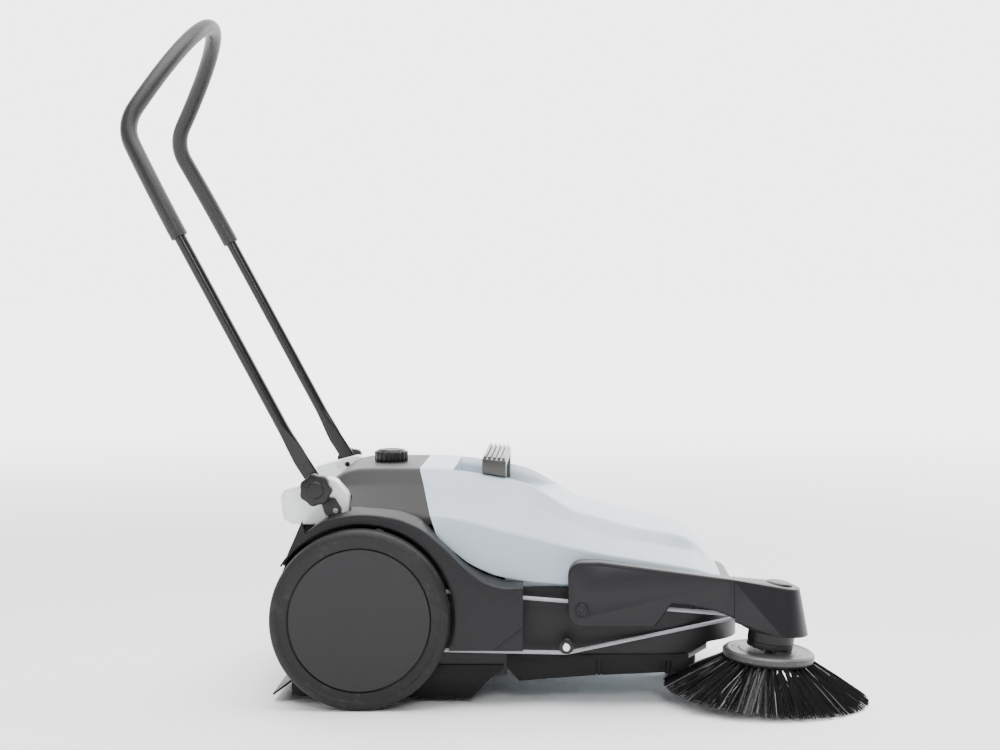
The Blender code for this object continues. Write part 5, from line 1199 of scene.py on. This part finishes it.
chance = random.Random(7)
lean = acos(spinFrame.to_3x3().col[2].z)
drop = (head["foot"].z - sideBroom["floorGap"]) / cos(lean) - sideBroom["reach"] * tan(lean)
bm = bmesh.new()
top = -half - gap
for row, (root, reach, depth) in enumerate(((edge - 0.006, 0.0, 1.0), (edge - 0.014, -0.014, 0.99),
                                            (edge - 0.022, -0.03, 0.97))):
    for tuft in range(sideBroom["tufts"]):
        tuftAngle = 2 * pi * (tuft + row / 3) / sideBroom["tufts"]
        for k in range(sideBroom["strands"]):
            angle = tuftAngle + chance.uniform(-0.018, 0.018)
            fanned = tuftAngle + chance.gauss(0.0, 0.055)
            base = root + chance.uniform(-0.0028, 0.0028)
            length = sideBroom["reach"] + reach - abs(chance.gauss(0.0, 0.0045))
            out, far = (Vector((cos(a), sin(a), 0.0)) for a in (angle, fanned))
            begin = out * base + upright(top - 0.0022)
            end = far * length + upright(-drop * depth * chance.uniform(0.975, 1.0))
            bend = begin.lerp(end, 0.5) + upright(0.0016) + far * 0.001
            strand(bm, [begin, begin * 0.25 + bend * 0.5 + end * 0.25, end], sideBroom["thick"])
collar = lathe([(edge - 0.001, top), (edge - 0.003, top - 0.0055), (0.05, top - 0.0055), (0.05, top)],
               0.001, 3, Matrix(), 72)
bm.from_mesh(collar.data)
bpy.data.objects.remove(collar)
bm.transform(spinFrame)
for vert in bm.verts:
    vert.co.z = max(vert.co.z, sideBroom["floorGap"])
dress("side_bristles", fromMesh(bm), bristleNylon, smooth=60)
print("side broom ready")

brush = {"radius": 0.123, "half": 0.231, "core": 0.05, "rows": 10, "tufts": 46, "strands": 9, "thick": 0.00055}
coreRadius, half = brush["core"], brush["half"]
core = [(0.0, 0.268), (0.008, 0.268), (0.008, half), (coreRadius, half), (coreRadius, -half), (0.008, -half),
        (0.008, -0.2477), (0.0, -0.2477)]
dress("broom_core", lathe(core, 0.0008, 3, outward(left, broom), 64, False), blackPlastic)
bm = bmesh.new()
sleeve = turned([(0.0533, 0.2305), (0.0533, -0.2305), (0.0503, -0.2305), (0.0503, 0.2305)], Matrix(), 64)
bm.from_mesh(sleeve.data)
bpy.data.objects.remove(sleeve)
bm.transform(outward(left, broom))
for row in range(brush["rows"]):
    for i in range(brush["tufts"]):
        y = (i - (brush["tufts"] - 1) / 2) * (2 * half - 0.014) / brush["tufts"]
        turn = 2 * pi * row / brush["rows"] + abs(y) / half * 0.55
        for k in range(brush["strands"]):
            rootTurn = turn + chance.uniform(-0.05, 0.05)
            tipTurn = turn + chance.gauss(0.0, 0.06)
            rootY = y + chance.uniform(-0.003, 0.003)
            tipY = min(max(rootY + chance.gauss(0.0, 0.0035), -half + 0.001), half - 0.001)
            reach = brush["radius"] - abs(chance.gauss(0.0, 0.0012))
            begin = around(broom, coreRadius + 0.002, rootTurn, rootY)
            end = around(broom, reach, tipTurn, tipY)
            bend = begin.lerp(end, 0.5) + Vector((0.0, chance.uniform(-0.002, 0.002), 0.0))
            strand(bm, [begin, bend, end], brush["thick"])
dress("main_bristles", fromMesh(bm), bristleNylon, smooth=60)
print("main broom ready")


# Belts

def straight(start, end, count):
    return [start.lerp(end, t) for t in spread(0.0, 1.0, count)[1:-1]]


def wrapped(center, radius, y, first, last, count):
    return [around(center, radius, angle, y) for angle in spread(first, last, count)]


pulleyFrame = spinFrame @ Matrix.Translation(upright(sideBroom["pulley"]))
plane = -pulleys["drivePlane"]
points = wrapped(axle, pulleys["drivePitch"], plane, radians(268.8), radians(85.5), 40)
ends = [pulleyFrame @ Vector((pitch * cos(angle), pitch * sin(angle), 0.0))
        for angle in spread(-pi / 2, pi / 2, 30)]
last = [around(idler, pulleys["idlerPitch"], radians(angle), plane) for angle in (-80.5, -84.0, -88.0, -91.3)]
points += straight(points[-1], ends[0], 50) + ends + straight(ends[-1], last[0], 34) + last
points += straight(last[-1], points[0], 34)
belt = loft(sweep(points, circle(pulleys["belt"], 16), looped=True), looped=True)
dress("drive_belt", belt, beltRubber, smooth=60)

# The short belt crosses itself; its two runs pass side by side where they meet
leftPitch, broomPitch, plane = (pulleys[key] for key in ("leftPitch", "broomPitch", "broomPlane"))
way = atan2(broom[1] - axle[1], broom[0] - axle[0])
spanTurn = acos((leftPitch + broomPitch) / dist(axle, broom))
crossing = leftPitch / (leftPitch + broomPitch)
points = wrapped(axle, leftPitch, plane, way + spanTurn, way + 2 * pi - spanTurn, 34)
wrap = wrapped(broom, broomPitch, plane, way + pi - spanTurn, way - pi + spanTurn, 26)


def crossedRun(start, end, sign, crossing):
    run = straight(start, end, 24)
    for at, t in zip(run, spread(0.0, 1.0, 24)[1:-1]):
        at.y += 0.0034 * sign * (1 - eased(abs(t - crossing) / 0.3))
    return run


loop = points + crossedRun(points[-1], wrap[0], 1, crossing) + wrap
loop += crossedRun(wrap[-1], points[0], -1, 1 - crossing)
belt = loft(sweep(loop, circle(pulleys["broomBelt"], 14), looped=True), looped=True)
dress("broom_belt", belt, beltRubber, smooth=60)
print("belts ready")


# Plates, skirts and small parts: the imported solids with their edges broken

softened = {
    darkPlastic: {"side_frame_right": 0.0008, "side_frame_left": 0.0008, "rear_panel": 0.0008, "broom_hood": 0.0006},
    flapRubber: {"side_skirt_right": 0.0007, "side_skirt_left": 0.0007, "front_skirt_right": 0.0005,
                 "front_skirt_left": 0.0005, "rear_flap": 0.0005, "dust_lip": 0.0006, "hopper_seal": 0.001},
    zincSteel: {"swing_arm_right": 0.0006, "swing_arm_left": 0.0006, "lift_bar": 0.0005, "knob_spindle": 0.0005,
                "caster_plate": 0.0006, "caster_fork": 0.0006},
    casterRubber: {"caster_wheel": 0.0008},
    blackPlastic: {"belt_guide": 0.001},
}
# web: where the dark sheets lie that paint the shade behind the slits
frontSkirt = {"rear": 0.2475, "reach": 0.0065, "web": (0.2386, 0.2396), "slits": (0.3905, 0.508), "slit": 0.0135,
              "foot": 0.047, "top": 0.07}
for paint, nodes in softened.items():
    for node, width in nodes.items():
        source = frame["nodes"][node]
        mesh = source.data.copy()
        mesh.transform(Matrix.Translation(-shift) @ source.matrix_world)
        form = soften(newObject(mesh), width, 2)
        if node.startswith("front_skirt"):
            # The rear end reaches the side skirt, and thin dark sheets behind the slits stand in for the shade
            # inside them (painted shade)
            for vert in form.data.vertices:
                if vert.co.x < frontSkirt["rear"]:
                    vert.co.x -= frontSkirt["reach"]
            y0, y1 = span(right if node.endswith("right") else left, *frontSkirt["web"])
            foot, top, wide = (frontSkirt[key] for key in ("foot", "top", "slit"))
            form = fuse(form, *(block((x, y0, foot), (x + wide, y1, top)) for x in frontSkirt["slits"]))
        dress(node, form, paint)
print("plates and skirts ready")

low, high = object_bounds()
